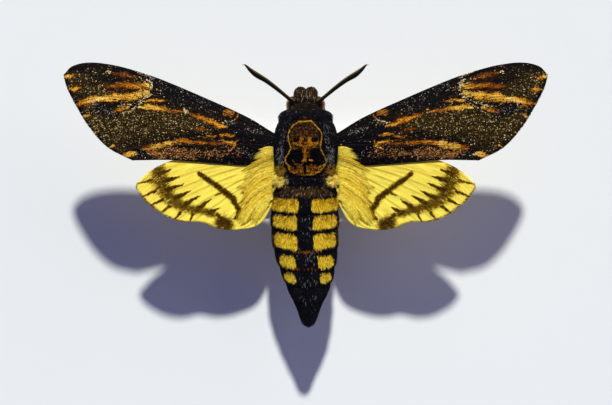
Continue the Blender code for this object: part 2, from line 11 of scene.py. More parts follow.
import bpy
import numpy as np
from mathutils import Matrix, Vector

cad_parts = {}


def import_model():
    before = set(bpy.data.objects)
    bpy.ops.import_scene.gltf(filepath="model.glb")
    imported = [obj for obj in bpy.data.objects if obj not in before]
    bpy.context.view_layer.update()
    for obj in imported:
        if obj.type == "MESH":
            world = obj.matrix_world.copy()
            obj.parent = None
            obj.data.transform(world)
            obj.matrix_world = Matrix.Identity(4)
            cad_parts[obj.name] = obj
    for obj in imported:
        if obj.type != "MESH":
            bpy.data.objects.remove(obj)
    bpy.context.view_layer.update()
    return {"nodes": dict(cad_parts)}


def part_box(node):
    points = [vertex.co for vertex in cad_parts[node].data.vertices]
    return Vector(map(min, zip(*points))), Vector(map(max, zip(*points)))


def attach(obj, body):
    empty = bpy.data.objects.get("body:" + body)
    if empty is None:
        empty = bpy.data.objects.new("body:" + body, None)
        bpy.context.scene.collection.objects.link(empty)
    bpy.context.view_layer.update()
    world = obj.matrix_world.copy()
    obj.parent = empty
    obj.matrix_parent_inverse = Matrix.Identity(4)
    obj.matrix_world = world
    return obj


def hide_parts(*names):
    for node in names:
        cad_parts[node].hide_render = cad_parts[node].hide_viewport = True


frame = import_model()

MM = 0.001
THORAX_FRONT = 19.25
MOTH_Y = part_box("thorax")[1].y / MM - THORAX_FRONT

# The camera looks straight down, as the photo does.
CAMERA_Y = -4.0
CAMERA_HEIGHT = 520.0
PIXEL_ANGLE = 0.2474 / 486.0     # tangent of the angle one pixel spans
PHOTO_MIDDLE = (306.0, 202.5)
PHOTO_WIDTH = 612
BODY_LINE = 305.7                # the moth's middle line, in pixels

# Lamps: name, the direction that the light comes from, strength, spread and colour.
LAMPS = (
    ("studio light", (2.0, 32.8, 34.0), 4.18, math.radians(3.4), (1.0, 0.985, 0.93)),
    ("side fill", (4.0, 2.4, 2.6), 0.5, math.radians(50.0), (1.0, 0.88, 0.76)),
)
SKY_COLOUR = (0.37, 0.415, 1.0, 1.0)
SKY_STRENGTH = 0.262
GROUND_REACH = 1.5               # in metres, from the middle to each edge of the floor
SIDES = ((1, "right"), (-1, "left"))
RANDOM_SEED = 7

# Wings. Outlines of the right side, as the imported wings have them.
DIHEDRAL = math.radians(12.0)
WING_ROOT_X = 7.5
FOREWING_ROOT_Z = 23.3
HINDWING_ROOT_Z = 21.65
FOREWING_CAMBER = 0.9
HINDWING_CAMBER = 0.5
FOREWING_COSTA = (
    (5.6, 12.4), (8.2, 13.7), (14.4, 17.4), (24.4, 21.9), (36.2, 26.8),
    (42.3, 28.8), (48.0, 30.2), (53.8, 30.7), (57.8, 29.7), (59.8, 27.6),
)
FOREWING_TERMEN = ((59.8, 27.6), (58.9, 24.4), (56.5, 19.7), (53.5, 14.8), (49.0, 9.8), (42.9, 6.5))
FOREWING_DORSUM = ((5.6, 8.4), (8.6, 7.4), (13.6, 5.5), (20.1, 5.6), (33.2, 6.6), (42.9, 6.5))
HINDWING_LEAD = ((5.6, 9.0), (15.2, 9.3), (25.2, 8.5), (33.6, 6.5), (38.6, 4.1), (42.1, 0.9))
HINDWING_TERMEN = (
    (42.1, 0.9), (42.1, -0.4), (39.4, -3.9), (34.6, -7.4), (30.4, -8.7),
    (26.4, -8.7), (22.4, -10.2), (18.6, -10.8), (14.4, -10.5),
)
HINDWING_INNER = ((5.6, 3.6), (6.7, 0.0), (8.3, -4.2), (10.6, -8.4), (12.4, -9.9), (14.4, -10.5))
# Veins: share of the chord at the root, share at the outer margin, where it starts, where it ends.
FOREWING_VEINS = (
    (0.12, 0.015, 0.0, 0.80),
    (0.22, 0.075, 0.0, 0.97),
    (0.29, 0.15, 0.40, 1.0),
    (0.36, 0.28, 0.46, 1.0),
    (0.43, 0.41, 0.48, 1.0),
    (0.50, 0.56, 0.46, 1.0),
    (0.57, 0.71, 0.0, 1.0),
    (0.64, 0.86, 0.30, 1.0),
    (0.82, 0.965, 0.0, 1.0),
)
HINDWING_VEINS = (
    (0.10, 0.02, 0.0, 1.0),
    (0.20, 0.125, 0.30, 1.0),
    (0.29, 0.22, 0.0, 1.0),
    (0.37, 0.31, 0.40, 1.0),
    (0.46, 0.44, 0.36, 1.0),
    (0.56, 0.56, 0.0, 1.0),
    (0.70, 0.75, 0.0, 1.0),
    (0.86, 0.94, 0.0, 1.0),
)
MEMBRANE = 0.2
VEIN_RELIEF = 0.13
VEIN_WIDTH = 0.2
FOREWING_SETTLE = 0.45           # the forewing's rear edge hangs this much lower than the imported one
HINDWING_SETTLE = 0.5            # the hindwing's front edge lies this much higher, to nearly touch it
WING_SPACING = 0.2               # between the lines of a wing's mesh
LIE_LENGTH = 50.0                # a wing's length and chord, as its grain counts them
LIE_CHORD = 20.0
UNDER_APART = 40.0               # and how far apart it counts the upper and the lower side
FRINGE_SCALES = 2200

# The body, from front to back: y, half width, lowest z, highest z.
BODY_SECTIONS = (
    (24.0, 1.2, 18.0, 20.6),
    (23.5, 2.2, 17.0, 21.6),
    (22.6, 3.0, 16.2, 22.5),
    (21.2, 3.6, 15.8, 23.2),
    (20.2, 4.0, 15.7, 23.7),
    (19.4, 4.9, 15.5, 24.2),
    (18.6, 6.3, 14.9, 25.3),
    (16.6, 6.9, 14.3, 26.5),
    (13.7, 7.9, 13.8, 27.3),
    (10.0, 8.1, 13.5, 27.6),
    (6.6, 8.1, 13.5, 27.3),
    (4.6, 7.6, 13.7, 26.8),
    (2.4, 7.4, 14.0, 26.3),
    (0.4, 8.0, 14.2, 26.1),
    (-2.6, 8.6, 13.8, 26.6),
    (-7.0, 8.75, 13.6, 26.6),
    (-11.4, 8.7, 13.6, 26.4),
    (-16.7, 8.15, 13.8, 25.9),
    (-21.2, 7.05, 14.2, 25.2),
    (-25.3, 5.7, 14.8, 24.3),
    (-29.6, 3.75, 15.6, 23.2),
    (-33.4, 2.2, 16.9, 21.7),
    (-35.3, 1.25, 18.0, 20.6),
)
BODY_POWER = 2.0 / 2.15          # a little squarer than an ellipse
BODY_RING = 0.25
BODY_SIDES = 168
SWAY_START = -0.2                # how far the abdomen's middle lies to the side, at its root
SWAY_TAIL = 0.72                 # and at its tail
SWAY_ENDS = (11.0, 27.0)
COAT_DEPTH = 0.42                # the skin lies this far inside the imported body
WAIST_Y = 0.4
NECK_Y = 19.3
SEGMENT_EDGES = (-2.6, -6.8, -11.4, -16.7, -21.2, -25.3, -29.6)
SEGMENT_STEP = 0.24
SEGMENT_BEND = 1.6               # a ring's edge lies this much further forward on the flanks
TEGULA_MIDDLE = math.radians(38.0)
TEGULA_SPREAD = math.radians(15.0)
TEGULA_SWELL = 0.8
TEGULA_ENDS = (17.8, 5.0)
GROOVE_AT = math.radians(59.0)
GROOVE_WIDTH = math.radians(6.0)
GROOVE_DEPTH = 0.75

# Coat of tufts: how many to the square millimetre, how long and wide, and how far they stand up.
HEAD_COAT = {"dense": 40.0, "length": 0.95, "width": 0.15, "lift": 0.30}
THORAX_COAT = {"dense": 30.0, "length": 1.05, "width": 0.15, "lift": 0.30}
ABDOMEN_COAT = {"dense": 24.0, "length": 0.95, "width": 0.15, "lift": 0.20}
PALP_COAT = {"dense": 38.0, "length": 0.8, "width": 0.13, "lift": 0.3}
LEG_COAT = {"dense": 18.0, "length": 0.6, "width": 0.11, "lift": 0.12}
ROOT_SUNK = 0.08
PATCH = 0.003                    # how wide one tuft is on its bake map

EYE_MIDDLE = (3.15, 21.0, 19.3)
EYE_RADII = (1.85, 2.1, 2.35)
PALP_PATH = ((1.7, 21.6, 15.3), (1.6, 23.2, 15.9), (1.4, 23.9, 17.6), (1.25, 23.7, 19.6), (1.2, 22.8, 21.0))
PALP_RADII = (0.9, 1.15, 1.25, 1.15, 0.85)
ANTENNA_PATH = (
    (3.0, 21.4, 21.9), (4.2, 22.3, 22.4), (7.4, 24.9, 22.8), (10.1, 26.9, 23.0), (12.6, 28.4, 23.1),
    (14.1, 29.6, 23.1), (15.1, 30.6, 23.0), (15.7, 30.95, 22.9), (16.2, 30.7, 22.7),
)
ANTENNA_RADII = (0.62, 0.5, 0.54, 0.62, 0.7, 0.5, 0.26, 0.13, 0.05)
ANTENNA_RING = 0.27
TONGUE_MIDDLE = (22.3, 15.1)
TONGUE_RADIUS = 1.75
TONGUE_PITCH = 1.05
TONGUE_TURNS = 1.45
TONGUE_START = math.radians(120)
TONGUE_THICKNESS = 0.7
LEGS = {
    "foreleg": (
        (2.6, 15.4, 14.9), (3.6, 16.2, 12.9), (4.0, 18.7, 12.9), (4.2, 20.5, 12.6), (4.3, 21.3, 11.8),
        (4.3, 20.4, 10.9), (4.5, 17.8, 10.3), (4.8, 14.6, 9.7), (5.1, 11.2, 9.3),
    ),
    "midleg": (
        (2.8, 11.2, 14.4), (4.4, 10.8, 12.2), (7.2, 10.5, 11.9), (9.6, 9.9, 13.0), (10.5, 9.0, 12.9),
        (10.3, 7.8, 11.9), (9.4, 4.8, 10.6), (8.6, 1.0, 9.6), (8.3, -3.2, 9.0),
    ),
    "hindleg": (
        (2.8, 6.8, 14.3), (4.0, 6.2, 12.2), (5.6, 4.2, 11.2), (6.6, 0.4, 11.4), (6.8, -2.2, 11.8),
        (6.2, -5.2, 10.6), (5.6, -9.0, 9.6), (5.2, -13.0, 9.2), (5.0, -17.2, 9.4),
    ),
}
LEG_RADII = (1.2, 0.98, 0.85, 0.66, 0.5, 0.52, 0.46, 0.3, 0.14)
LEG_JOINTS = (0.42, 0.62, 0.74, 0.86, 0.95)   # where the leg's pale rings lie along it
THINNEST = 0.03                  # the least radius of a feeler, leg, palp or tongue

# Long hair, in rows: strands, roots from and to, tips from and to, how high it starts over the wing.
FOREWING_HAIR = (
    (460, (8.2, 9.9), (8.2, 7.6), (11.6, 9.8), (13.8, 6.4), 0.9),
    (620, (8.1, 8.4), (8.1, 5.4), (13.4, 7.0), (15.2, 2.4), 0.9),
)
HINDWING_HAIR = (
    (800, (8.1, 7.2), (8.0, 3.4), (15.8, 4.2), (14.8, -2.4), 0.9),
    (1150, (8.2, 4.6), (7.9, 0.6), (17.2, 0.0), (12.8, -6.2), 0.8),
    (1300, (8.6, 1.6), (8.3, -3.2), (18.0, -4.6), (11.6, -8.6), 0.6),
    (1100, (10.6, -1.6), (9.2, -4.8), (18.4, -9.0), (12.6, -10.2), 0.3),
)
HAIR_WIDTH = 0.19
HAIR_NODES = 7
LOCKS = 46                       # in one row of hair
# Tufts at the waist: foot, middle of the brush, strands, how they lean, colours at the root and tip.
WAIST_TUFTS = (
    ((6.2, 2.0, 23.3), (6.8, 1.3, 25.4), 560, (0.1, -0.35, 0.0), (1.0, 0.70, 0.08), (1.0, 0.80, 0.15)),
    ((6.0, 4.6, 24.0), (6.5, 4.2, 25.6), 260, (0.2, -0.9, 0.0), (0.015, 0.008, 0.002), (0.34, 0.19, 0.02)),
)
WAIST_TUFT_LENGTH = 1.5
WAIST_TUFT_NODES = 6
# The net of places at which the wings' upper side is measured, to lay hair on it.
NET_FROM = (5.0, -13.0)
NET_CELL = 0.6
NET_SIZE = (34, 50)

# Colours, as linear red, green and blue.
COLOURS = {
    "black": (0.0032, 0.0029, 0.0040),
    "blue black": (0.0060, 0.0066, 0.0135),
    "brown": (0.105, 0.054, 0.011),
    "umber": (0.022, 0.0125, 0.0055),
    "grey": (0.27, 0.25, 0.25),
    "pale": (0.50, 0.38, 0.19),
    "orange": (0.72, 0.29, 0.008),
    "rust": (0.31, 0.085, 0.004),
    "gold": (0.84, 0.47, 0.009),
    "lemon": (1.0, 0.74, 0.045),
    "ochre": (0.38, 0.19, 0.007),
    "belly": (0.40, 0.25, 0.05),
}

# The feeler's dark colour, and the golden colour of the painted highlight on its side that faces the lamp.
FEELER_DARK, FEELER_HIGHLIGHT = (0.005, 0.004, 0.003), (0.24, 0.155, 0.02)
TONGUE_DARK, TONGUE_LIGHT = (0.09, 0.03, 0.01), (0.2, 0.08, 0.02)
TONGUE_RING = 0.2                # between the grooves of the tongue

# The skull, in pixels. Its outline runs down the left, down the right and round below.
SKULL_OUTLINE = (
    ((304.5, 121.4), (298.4, 121.6), (293.4, 125.0), (290.0, 129.6), (288.2, 135.0), (288.6, 140.3),
     (290.0, 144.9), (290.8, 148.7), (287.9, 154.0), (285.2, 158.6), (285.6, 162.4), (289.2, 166.3)),
    ((304.5, 121.4), (311.0, 120.8), (315.2, 125.0), (319.8, 129.6), (322.0, 134.2), (321.3, 140.3),
     (320.5, 147.2), (322.0, 151.8), (324.6, 156.6), (326.6, 162.6), (322.0, 166.0)),
    ((288.0, 166.5), (290.5, 171.3), (296.9, 174.0), (304.5, 175.4), (312.9, 174.7), (321.0, 170.6),
     (325.5, 165.0)),
)
SKULL_FACE = ((305, 130), (305, 142))
SKULL_JAW = ((296, 158), (314, 158))
SKULL_CHIN = ((294, 168), (305, 171), (317, 168))
SKULL_BROWS = (   # a line, its half width and strength
    (((301.4, 138.4), (300.6, 142)), 2.2, 1.0),
    (((309.6, 138.4), (310.4, 142)), 2.2, 1.0),
    (((293.6, 143.8), (300, 144.6), (305, 147.6)), 1.5, 0.8),
    (((318, 143.2), (311, 144.4), (305, 147.6)), 1.5, 0.8),
)
SKULL_NOSE = ((304.8, 149), (305, 156), (304.6, 162.6))
SKULL_TEETH = (((293.6, 160.2), (302, 160.6)), ((309.4, 160.4), (319, 159.8)))
SKULL_CRACKS = (
    ((291.6, 163.2), (296, 167.6)),
    ((313.4, 163.4), (319, 164.8)),
    ((304.9, 162.6), (305.2, 174.4)),
)
SKULL_EYES = (((295.1, 140.1), (298.1, 139.5)), ((312.9, 139.9), (315.9, 139.3)))
SKULL_CHEEKS = (((297.0, 154.4), (297.6, 156.8)), ((315.8, 153.4), (316.4, 155.8)))

# Rows of the abdomen and waist that have a colour of their own, as first and last y in pixels.
FIRST_RING = (187.0, 198.0)
WAIST_ROWS = (174.0, 188.0)
RUST_ROWS = (252.2, 269.8)
# Grey frosting along the abdomen's middle: y in pixels, half height and strength.
BACK_FROST = ((257.0, 6.0, 1.0), (284.0, 5.0, 0.7), (300.0, 6.0, 0.6), (228.0, 18.0, 0.6))
# Grey frosting on the thorax: a line, its half width, how dense.
THORAX_FROST = (
    (((279.6, 150), (280.4, 161)), 3.6, 0.34),
    (((331.4, 150), (330.6, 161)), 3.8, 0.34),
    (((326, 126), (328, 148)), 2.6, 0.20),
    (((284, 126), (281, 148)), 2.4, 0.13),
)

# Yellow bands of the abdomen, in pixels: first and last y at the inner end, how far from the middle they
# start and end, and how far their first and last edges rise with each pixel outwards.
BANDS = (
    (199.6, 213.0, 6.4, 33.6, 0.06, 0.10),
    (217.0, 231.0, 8.0, 32.0, 0.10, 0.18),
    (235.6, 251.6, 8.2, 31.0, 0.12, 0.24),
    (256.6, 269.8, 11.2, 27.2, 0.06, 0.22),
    (274.6, 285.0, 12.2, 24.0, 0.16, 0.40),
)

# Forewing marks of the left wing: a line, half width at its points, strength, and how pale at its points.
FOREWING_ORANGE = (
    (((112, 73.4), (124, 74.6), (137, 77.8)), (1.2, 2.6, 1.2), 0.80, (0.0, 0.15, 0.55)),
    (((107, 86.2), (121, 85.2), (136, 85.2), (148, 86)), (2.0, 3.7, 3.6, 2.2), 1.0,
     (-0.15, -0.02, 0.34, 0.95)),
    (((103, 99), (115, 97.8), (130, 96.4), (147, 92.6)), (3.0, 4.3, 4.0, 2.0), 1.0, (0.9, 0.68, 0.78, 1.1)),
    (((76.4, 104.6), (84.5, 102.4), (91.5, 100), (100, 98.6)), (1.4, 3.4, 3.6, 2.8), 1.0,
     (0.5, 0.45, 0.7, 0.95)),
    (((63.5, 76.4), (68, 77), (73, 77)), (1.0, 2.3, 1.4), 1.0, (0.95, 0.8, 0.3)),
    (((69, 89.6), (74, 89.8), (81, 89.2)), (0.8, 2.6, 1.4), 1.0, (0.8, 0.65, 0.25)),
    (((81.4, 117.4), (85.5, 115.8), (89, 114.2)), (0.7, 1.9, 0.8), 1.0, (0.95, 0.75, 0.3)),
    (((93, 134.2), (98, 131.4)), (0.55, 0.8), 1.0, (0.95, 0.8)),
    (((108, 147.4), (112.6, 145.4)), (0.5, 0.85), 1.0, (0.95, 0.8)),
    (((124, 155.2), (129.5, 154.6), (135.4, 153)), (1.8, 3.7, 2.0), 1.0, (0.6, 0.8, 1.1)),
    (((139.5, 108.2), (149, 106.4), (160, 107.8), (171, 110.4), (181.6, 110.9)),
     (1.2, 2.8, 2.5, 1.7, 1.2), 1.0, (1.0, 0.85, 0.6, 0.25, 0.15)),
    (((146, 100.6), (156, 99.6), (166.6, 100.4)), (0.8, 1.6, 0.8), 0.85, (0.95, 0.7, 0.35)),
    (((112, 111.4), (121, 109.4), (129, 107.6)), (1.0, 2.2, 1.2), 0.85, (0.3, 0.5, 0.9)),
    (((188.6, 114.4), (199, 117.4), (210, 121), (219.6, 125), (226, 127)), (1.0, 2.8, 3.2, 2.4, 1.0), 0.95,
     (0.05, 0.22, 0.38, 0.55, 0.95)),
    (((194, 128.2), (202, 128.8), (208, 129.6)), (0.8, 1.8, 0.8), 0.7, (0.1, 0.25, 0.2)),
    (((203, 137), (210, 136.8), (217, 136.2)), (0.8, 1.8, 1.0), 0.8, (0.25, 0.4, 0.5)),
    (((219, 133.6), (226, 134.6), (233, 136)), (0.9, 1.9, 1.0), 0.85, (0.45, 0.6, 0.4)),
    (((221, 139.6), (229, 141.6), (236, 145.4)), (0.9, 1.9, 1.2), 0.85, (0.35, 0.7, 0.8)),
    (((229, 149.8), (233.4, 146), (237, 141)), (0.8, 1.3, 0.8), 0.8, (0.9, 0.6, 0.4)),
    (((143.8, 147.6), (148.6, 147.4)), (2.4, 2.8), 1.0, (0.1, 0.3)),
    (((151.6, 147), (156, 146.4), (160.4, 145.6)), (2.6, 3.3, 2.6), 1.0, (0.75, 0.95, 0.8)),
    (((164.6, 144.8), (170.4, 143.6)), (2.6, 2.6), 1.0, (0.95, 0.8)),
    (((174, 142.4), (182, 141.2), (193, 141.6), (204, 143)), (1.8, 2.6, 2.5, 2.0), 0.95,
     (0.5, 0.38, 0.22, 0.18)),
    (((204, 143), (214, 143.4), (225, 142.6)), (2.0, 2.3, 1.8), 0.8, (0.12, 0.18, 0.38)),
    (((152, 152.4), (161, 152.8)), (1.6, 2.0), 0.6, (0.4, 0.6)),
    (((167, 153.8), (178, 152.6), (194, 153)), (2.4, 3.6, 2.6), 0.36, (0.4, 0.5, 0.3)),
    (((200, 152.6), (214, 152), (232, 152.6)), (1.8, 2.6, 1.8), 0.28, (0.1, 0.2, 0.2)),
)
FOREWING_OCHRE = (
    (((226.4, 113.2), (231.6, 113.4)), (3.4, 3.0), 0.8),
    (((238.4, 112.2), (237.6, 116.8), (233.6, 120.8)), (0.8, 1.2, 0.9), 0.9),
)
FOREWING_PALE = (
    (((233.6, 120.8), (228, 122.6), (222, 122)), (0.9, 1.0, 0.8), 0.8),
    (((184.1, 109.4), (184.4, 111.2)), (1.7, 1.7), 1.0),
    (((138, 71.6), (145, 73.6), (151, 77)), (1.2, 1.8, 1.2), 0.6),
    (((139, 76.4), (142.6, 80), (144, 84)), (1.0, 1.3, 0.8), 0.7),
    (((147, 79), (151.6, 84), (151, 89.4)), (1.0, 2.0, 1.5), 0.85),
    (((150.6, 94.6), (140.7, 100.2), (128.6, 104.6), (117, 107)), (1.4, 1.2, 1.2, 0.9), 0.8),
    (((146, 98.6), (140, 104.4), (131.6, 110.6), (122, 113.6)), (0.8, 1.2, 1.3, 0.9), 0.75),
    (((156, 89.4), (164, 90)), (0.7, 0.8), 0.5),
    (((107.2, 71.6), (109.4, 73.6)), (1.5, 1.2), 0.6),
    (((90, 101.4), (98, 100.6), (105, 100)), (1.4, 1.8, 1.2), 0.62),
    (((113.6, 119.6), (120, 121.6), (127, 121.2)), (1.0, 1.3, 0.9), 0.45),
    (((166, 144.6), (172, 143)), (1.2, 1.2), 0.6),
)
FOREWING_OLIVE = (
    (((92, 122), (118, 128), (150, 124), (182, 122), (202, 124)), (11, 16, 14, 11, 4), 1.0),
    (((70, 72), (88, 88), (104, 92)), (9, 13, 8), 0.75),
    (((84, 64), (104, 64), (124, 66)), (5, 6, 4), 0.55),
    (((92, 112), (104, 128), (120, 146)), (8, 9, 7), 0.7),
    (((190, 128), (210, 131)), (4, 3), 0.5),
)
FOREWING_DARK = (
    (((99, 109), (113, 113.6)), (4.5, 6.0), 0.8),
    (((137, 153), (147, 151)), (4.2, 3.6), 1.0),
    (((122, 69.4), (134, 70.6)), (2.4, 2.2), 0.95),
    (((152, 76), (172, 86), (200, 100), (218, 108)), (4, 7.5, 8, 4), 0.9),
    (((165, 92), (186, 104)), (4.5, 3.5), 0.7),
    (((131, 161.6), (170, 161.2), (215, 162.2), (262, 161.6)), (1.2, 1.5, 2.0, 2.2), 0.9),
    (((148, 143), (165, 139.6), (181, 136.4), (197, 131.6)), (0.5, 0.6, 0.6, 0.5), 0.7),
    (((120, 90.6), (134, 90), (152, 88.8)), (0.5, 0.55, 0.5), 0.9),
    (((103, 94), (118, 91.8)), (0.5, 0.5), 0.6),
    (((112, 105), (128, 102.6), (146, 98)), (0.6, 0.6, 0.5), 0.8),
    (((98, 79.4), (112, 80.4), (134, 81.4)), (1.4, 1.6, 0.6), 0.55),
    (((241.5, 140), (246, 150)), (4.0, 4.0), 0.8),
)
FOREWING_FROST = (
    (((245, 128), (262, 132.6)), (2.0, 2.0), 0.40),
    (((240, 150), (252, 156)), (3.4, 4.0), 0.15),
    (((226, 124), (238, 122)), (1.8, 1.6), 0.3),
    (((136, 154), (145, 152)), (3.2, 2.6), 0.25),
    (((94, 106), (109, 112)), (4.6, 4.4), 0.20),
    (((141, 71.6), (152.6, 77)), (2.2, 2.0), 0.6),
    (((165, 84), (205, 104)), (5.0, 5.0), 0.10),
    (((108, 64.6), (124, 66.2)), (1.6, 1.4), 0.15),
)
FOREWING_PINK = (
    (((165, 153.6), (180, 153), (194, 153.6)), (4.2, 5.4, 4.6), 0.85),
    (((198, 153.6), (206, 152.6)), (2.6, 2.6), 0.35),
    (((207, 153.6), (222, 153)), (4.4, 4.0), 0.55),
    (((226, 153.6), (240, 154)), (3.4, 3.0), 0.30),
    (((152, 153.4), (162, 154.6)), (3.4, 4.0), 0.70),
    (((222, 142), (236, 150)), (3.0, 3.0), 0.35),
)

# Hindwing marks of the right wing: a line, half width at its points, strength.
HINDWING_BROWN = (
    (((411.6, 173.6), (403.4, 179.6), (394.4, 186.4), (386, 192.6), (379.6, 197.8), (376.4, 203.4),
      (371.4, 210.6), (373, 215.6), (377, 219)), (2.5, 3.1, 3.2, 3.5, 3.6, 3.2, 3.5, 2.6, 1.3), 1.0),
    (((387, 191), (391, 192.6), (396.6, 195.4)), (1.6, 1.3, 0.8), 0.9),
    (((453.4, 168.6), (451.8, 180), (447.4, 190.6), (440.0, 199.4), (429.6, 206), (418, 210), (408, 211.6),
      (398, 215.2)), (7.6, 9.4, 8.8, 7.6, 6.0, 5.2, 5.0, 3.6), 0.84),
    (((394, 215), (388, 222)), (2.6, 4.0), 1.0),
    (((384.6, 224.4), (389.6, 223)), (7.6, 7.9), 1.0),
    (((446, 161.2), (457, 165.6), (467.6, 172.4), (473.6, 178.6)), (1.6, 2.4, 2.2, 1.2), 0.95),
    (((362, 209), (369, 212)), (1.0, 1.8), 0.35),
)
HINDWING_TEETH = (   # a spike's foot in the band and its tip
    ((451, 173), (439.6, 168.6)),
    ((448, 181), (431.4, 176.0)),
    ((444, 190), (427.4, 183.4)),
    ((436, 198), (420.6, 190.4)),
    ((426, 204), (411.6, 195.6)),
    ((413, 208.6), (399.6, 198.4)),
    ((402, 213), (391.0, 207.4)),
)
HINDWING_TICKS = (   # thin dark lines from the band to the margin
    ((459.6, 180.4), (473.4, 183.4)),
    ((456, 191.4), (470.6, 197.6)),
    ((448.6, 199.4), (461.6, 206.0)),
    ((441.6, 206.6), (452.2, 213.0)),
    ((431, 212.6), (436.4, 219.6)),
    ((418.6, 214.6), (421.4, 222.0)),
)


# Shared maths.

def world(points):
    """These points of the moth, in metres in the frame."""
    return (np.asarray(points, float) + (0.0, MOTH_Y, 0.0)) * MM


def ease(value, low, high):
    """0 below low, 1 above high, smooth between."""
    t = np.clip((value - low) / (high - low), 0.0, 1.0)
    return t * t * (3 - 2 * t)


def hump(value, middle, width):
    return np.exp(-(((value - middle) / width) ** 2))


def unit(vectors):
    return vectors / np.maximum(np.linalg.norm(vectors, axis=-1, keepdims=True), 1e-9)


def blend(a, b, share):
    """Colours between a and b, with one share for each row."""
    share = np.asarray(share)[:, None]
    return a * (1 - share) + np.asarray(b, float) * share


def noise(points, size, seed):
    """Smooth random values from 0 to 1 at these points, changing over about this many millimetres."""
    places = np.asarray(points, float) / size
    cell = np.floor(places).astype(np.int64)
    rest = places - cell
    rest = rest * rest * (3 - 2 * rest)
    total = np.zeros(len(places))
    for corner in itertools.product((0, 1), repeat=places.shape[1]):
        mixed = cell + corner
        number = np.full(len(places), seed * 7919, np.int64)
        for column, factor in zip(mixed.T, (73856093, 19349663, 83492791)):
            number ^= column * factor
        number = (number ^ (number >> 13)) * 1274126177
        number ^= number >> 16
        weight = np.prod(np.where(corner, rest, 1 - rest), axis=1)
        total += weight * (number & 65535) / 65535
    return total


def run_along(points):
    """The distance along a line at each of its points."""
    return np.append(0.0, np.cumsum(np.linalg.norm(np.diff(points, axis=0), axis=1)))


def curve(knots, values, slopes, places):
    """Values at these places on a smooth curve, from its values and slopes at its knots."""
    i = np.clip(np.searchsorted(knots, places, side="right") - 1, 0, len(knots) - 2)
    shape = np.shape(places) + (1,) * (values.ndim - 1)
    span = (knots[i + 1] - knots[i]).reshape(shape)
    s = (places - knots[i]).reshape(shape) / span
    h = s * s * (3 - 2 * s)
    return (
        values[i] * (1 - h) + values[i + 1] * h
        + slopes[i] * span * s * (1 - s) ** 2 - slopes[i + 1] * span * s * s * (1 - s)
    )


def smooth_line(points):
    """A function from shares 0..1 to points on one smooth line through these points."""
    points = np.array(points, float)
    knots = run_along(points)
    knots = knots / knots[-1]
    order = np.arange(len(points))
    before, after = np.maximum(order - 1, 0), np.minimum(order + 1, order[-1])
    slopes = (points[after] - points[before]) / (knots[after] - knots[before])[:, None]

    def at(shares):
        return curve(knots, points, slopes, np.clip(shares, 0.0, 1.0))

    return at


def photo_place(points):
    """The pixel of the photo at which each point of the moth shows."""
    scale = PIXEL_ANGLE * (CAMERA_HEIGHT - points[:, 2])
    return BODY_LINE + points[:, 0] / scale, PHOTO_MIDDLE[1] - (points[:, 1] - CAMERA_Y) / scale


def folded(points):
    """Photo places as distances from the moth's middle line, so that one side's marks serve both."""
    return [(abs(x - BODY_LINE), y) for x, y in points]


def line_distance(x, y, points):
    """Distance to a line of points, and the place along it as a point number."""
    nearest = np.full(len(x), 1e9)
    along = np.zeros(len(x))
    for i, ((ax, ay), (bx, by)) in enumerate(zip(points, points[1:])):
        dx, dy = bx - ax, by - ay
        t = np.clip(((x - ax) * dx + (y - ay) * dy) / (dx * dx + dy * dy), 0.0, 1.0)
        distance = np.hypot(x - ax - t * dx, y - ay - t * dy)
        closer = distance < nearest
        along[closer] = i + t[closer]
        nearest = np.minimum(nearest, distance)
    return nearest, along


def stroke(x, y, points, widths, soft=0.3):
    """A mask along a line: 1 inside its half widths, falling to 0 around them."""
    distance, along = line_distance(x, y, points)
    width = np.interp(along, range(len(points)), np.broadcast_to(widths, len(points)))
    return 1 - ease(distance / width, 1 - soft, 1 + soft)


def strongest(x, y, marks, soft=0.3):
    """The strongest of several marks, each a line with half widths and a strength."""
    found = np.zeros(len(x))
    for line, widths, strength in marks:
        found = np.maximum(found, strength * stroke(x, y, line, widths, soft))
    return found


def wing_marks(x, y, marks, soft=0.3):
    """The strongest of a wing's marks at places that are folded onto one side."""
    return strongest(x, y, [(folded(line), *rest) for line, *rest in marks], soft)


# Meshes.

def grid_faces(rows, columns, closed_round):
    """Triangles of a grid of points, closed from the last column to the first if asked."""
    cells = columns if closed_round else columns - 1
    r, c = np.meshgrid(np.arange(rows - 1), np.arange(cells), indexing="ij")
    after = (c + 1) % columns
    a, b = r * columns + c, r * columns + after
    d, e = (r + 1) * columns + c, (r + 1) * columns + after
    return np.concatenate([np.stack([a, b, e], -1).reshape(-1, 3), np.stack([a, e, d], -1).reshape(-1, 3)])


def closed_tube(grid):
    """Points and triangles of rings of points, closed by a middle point at each end and facing outwards."""
    rows, columns = grid.shape[:2]
    points = np.concatenate([grid.reshape(-1, 3), [grid[0].mean(0)], [grid[-1].mean(0)]])
    around = np.arange(columns)
    after = (around + 1) % columns
    last = (rows - 1) * columns
    first_cap = np.stack([np.full(columns, rows * columns), after, around], -1)
    last_cap = np.stack([np.full(columns, rows * columns + 1), last + around, last + after], -1)
    faces = np.concatenate([grid_faces(rows, columns, True), first_cap, last_cap])
    return points, outwards(points, faces)


def outwards(points, faces):
    """The same triangles, all turned round if the surface is inside out."""
    a, b, c = (points[faces[:, k]] for k in range(3))
    volume = np.einsum("ij,ij->i", a, np.cross(b, c)).sum()
    return faces if volume > 0 else faces[:, ::-1]


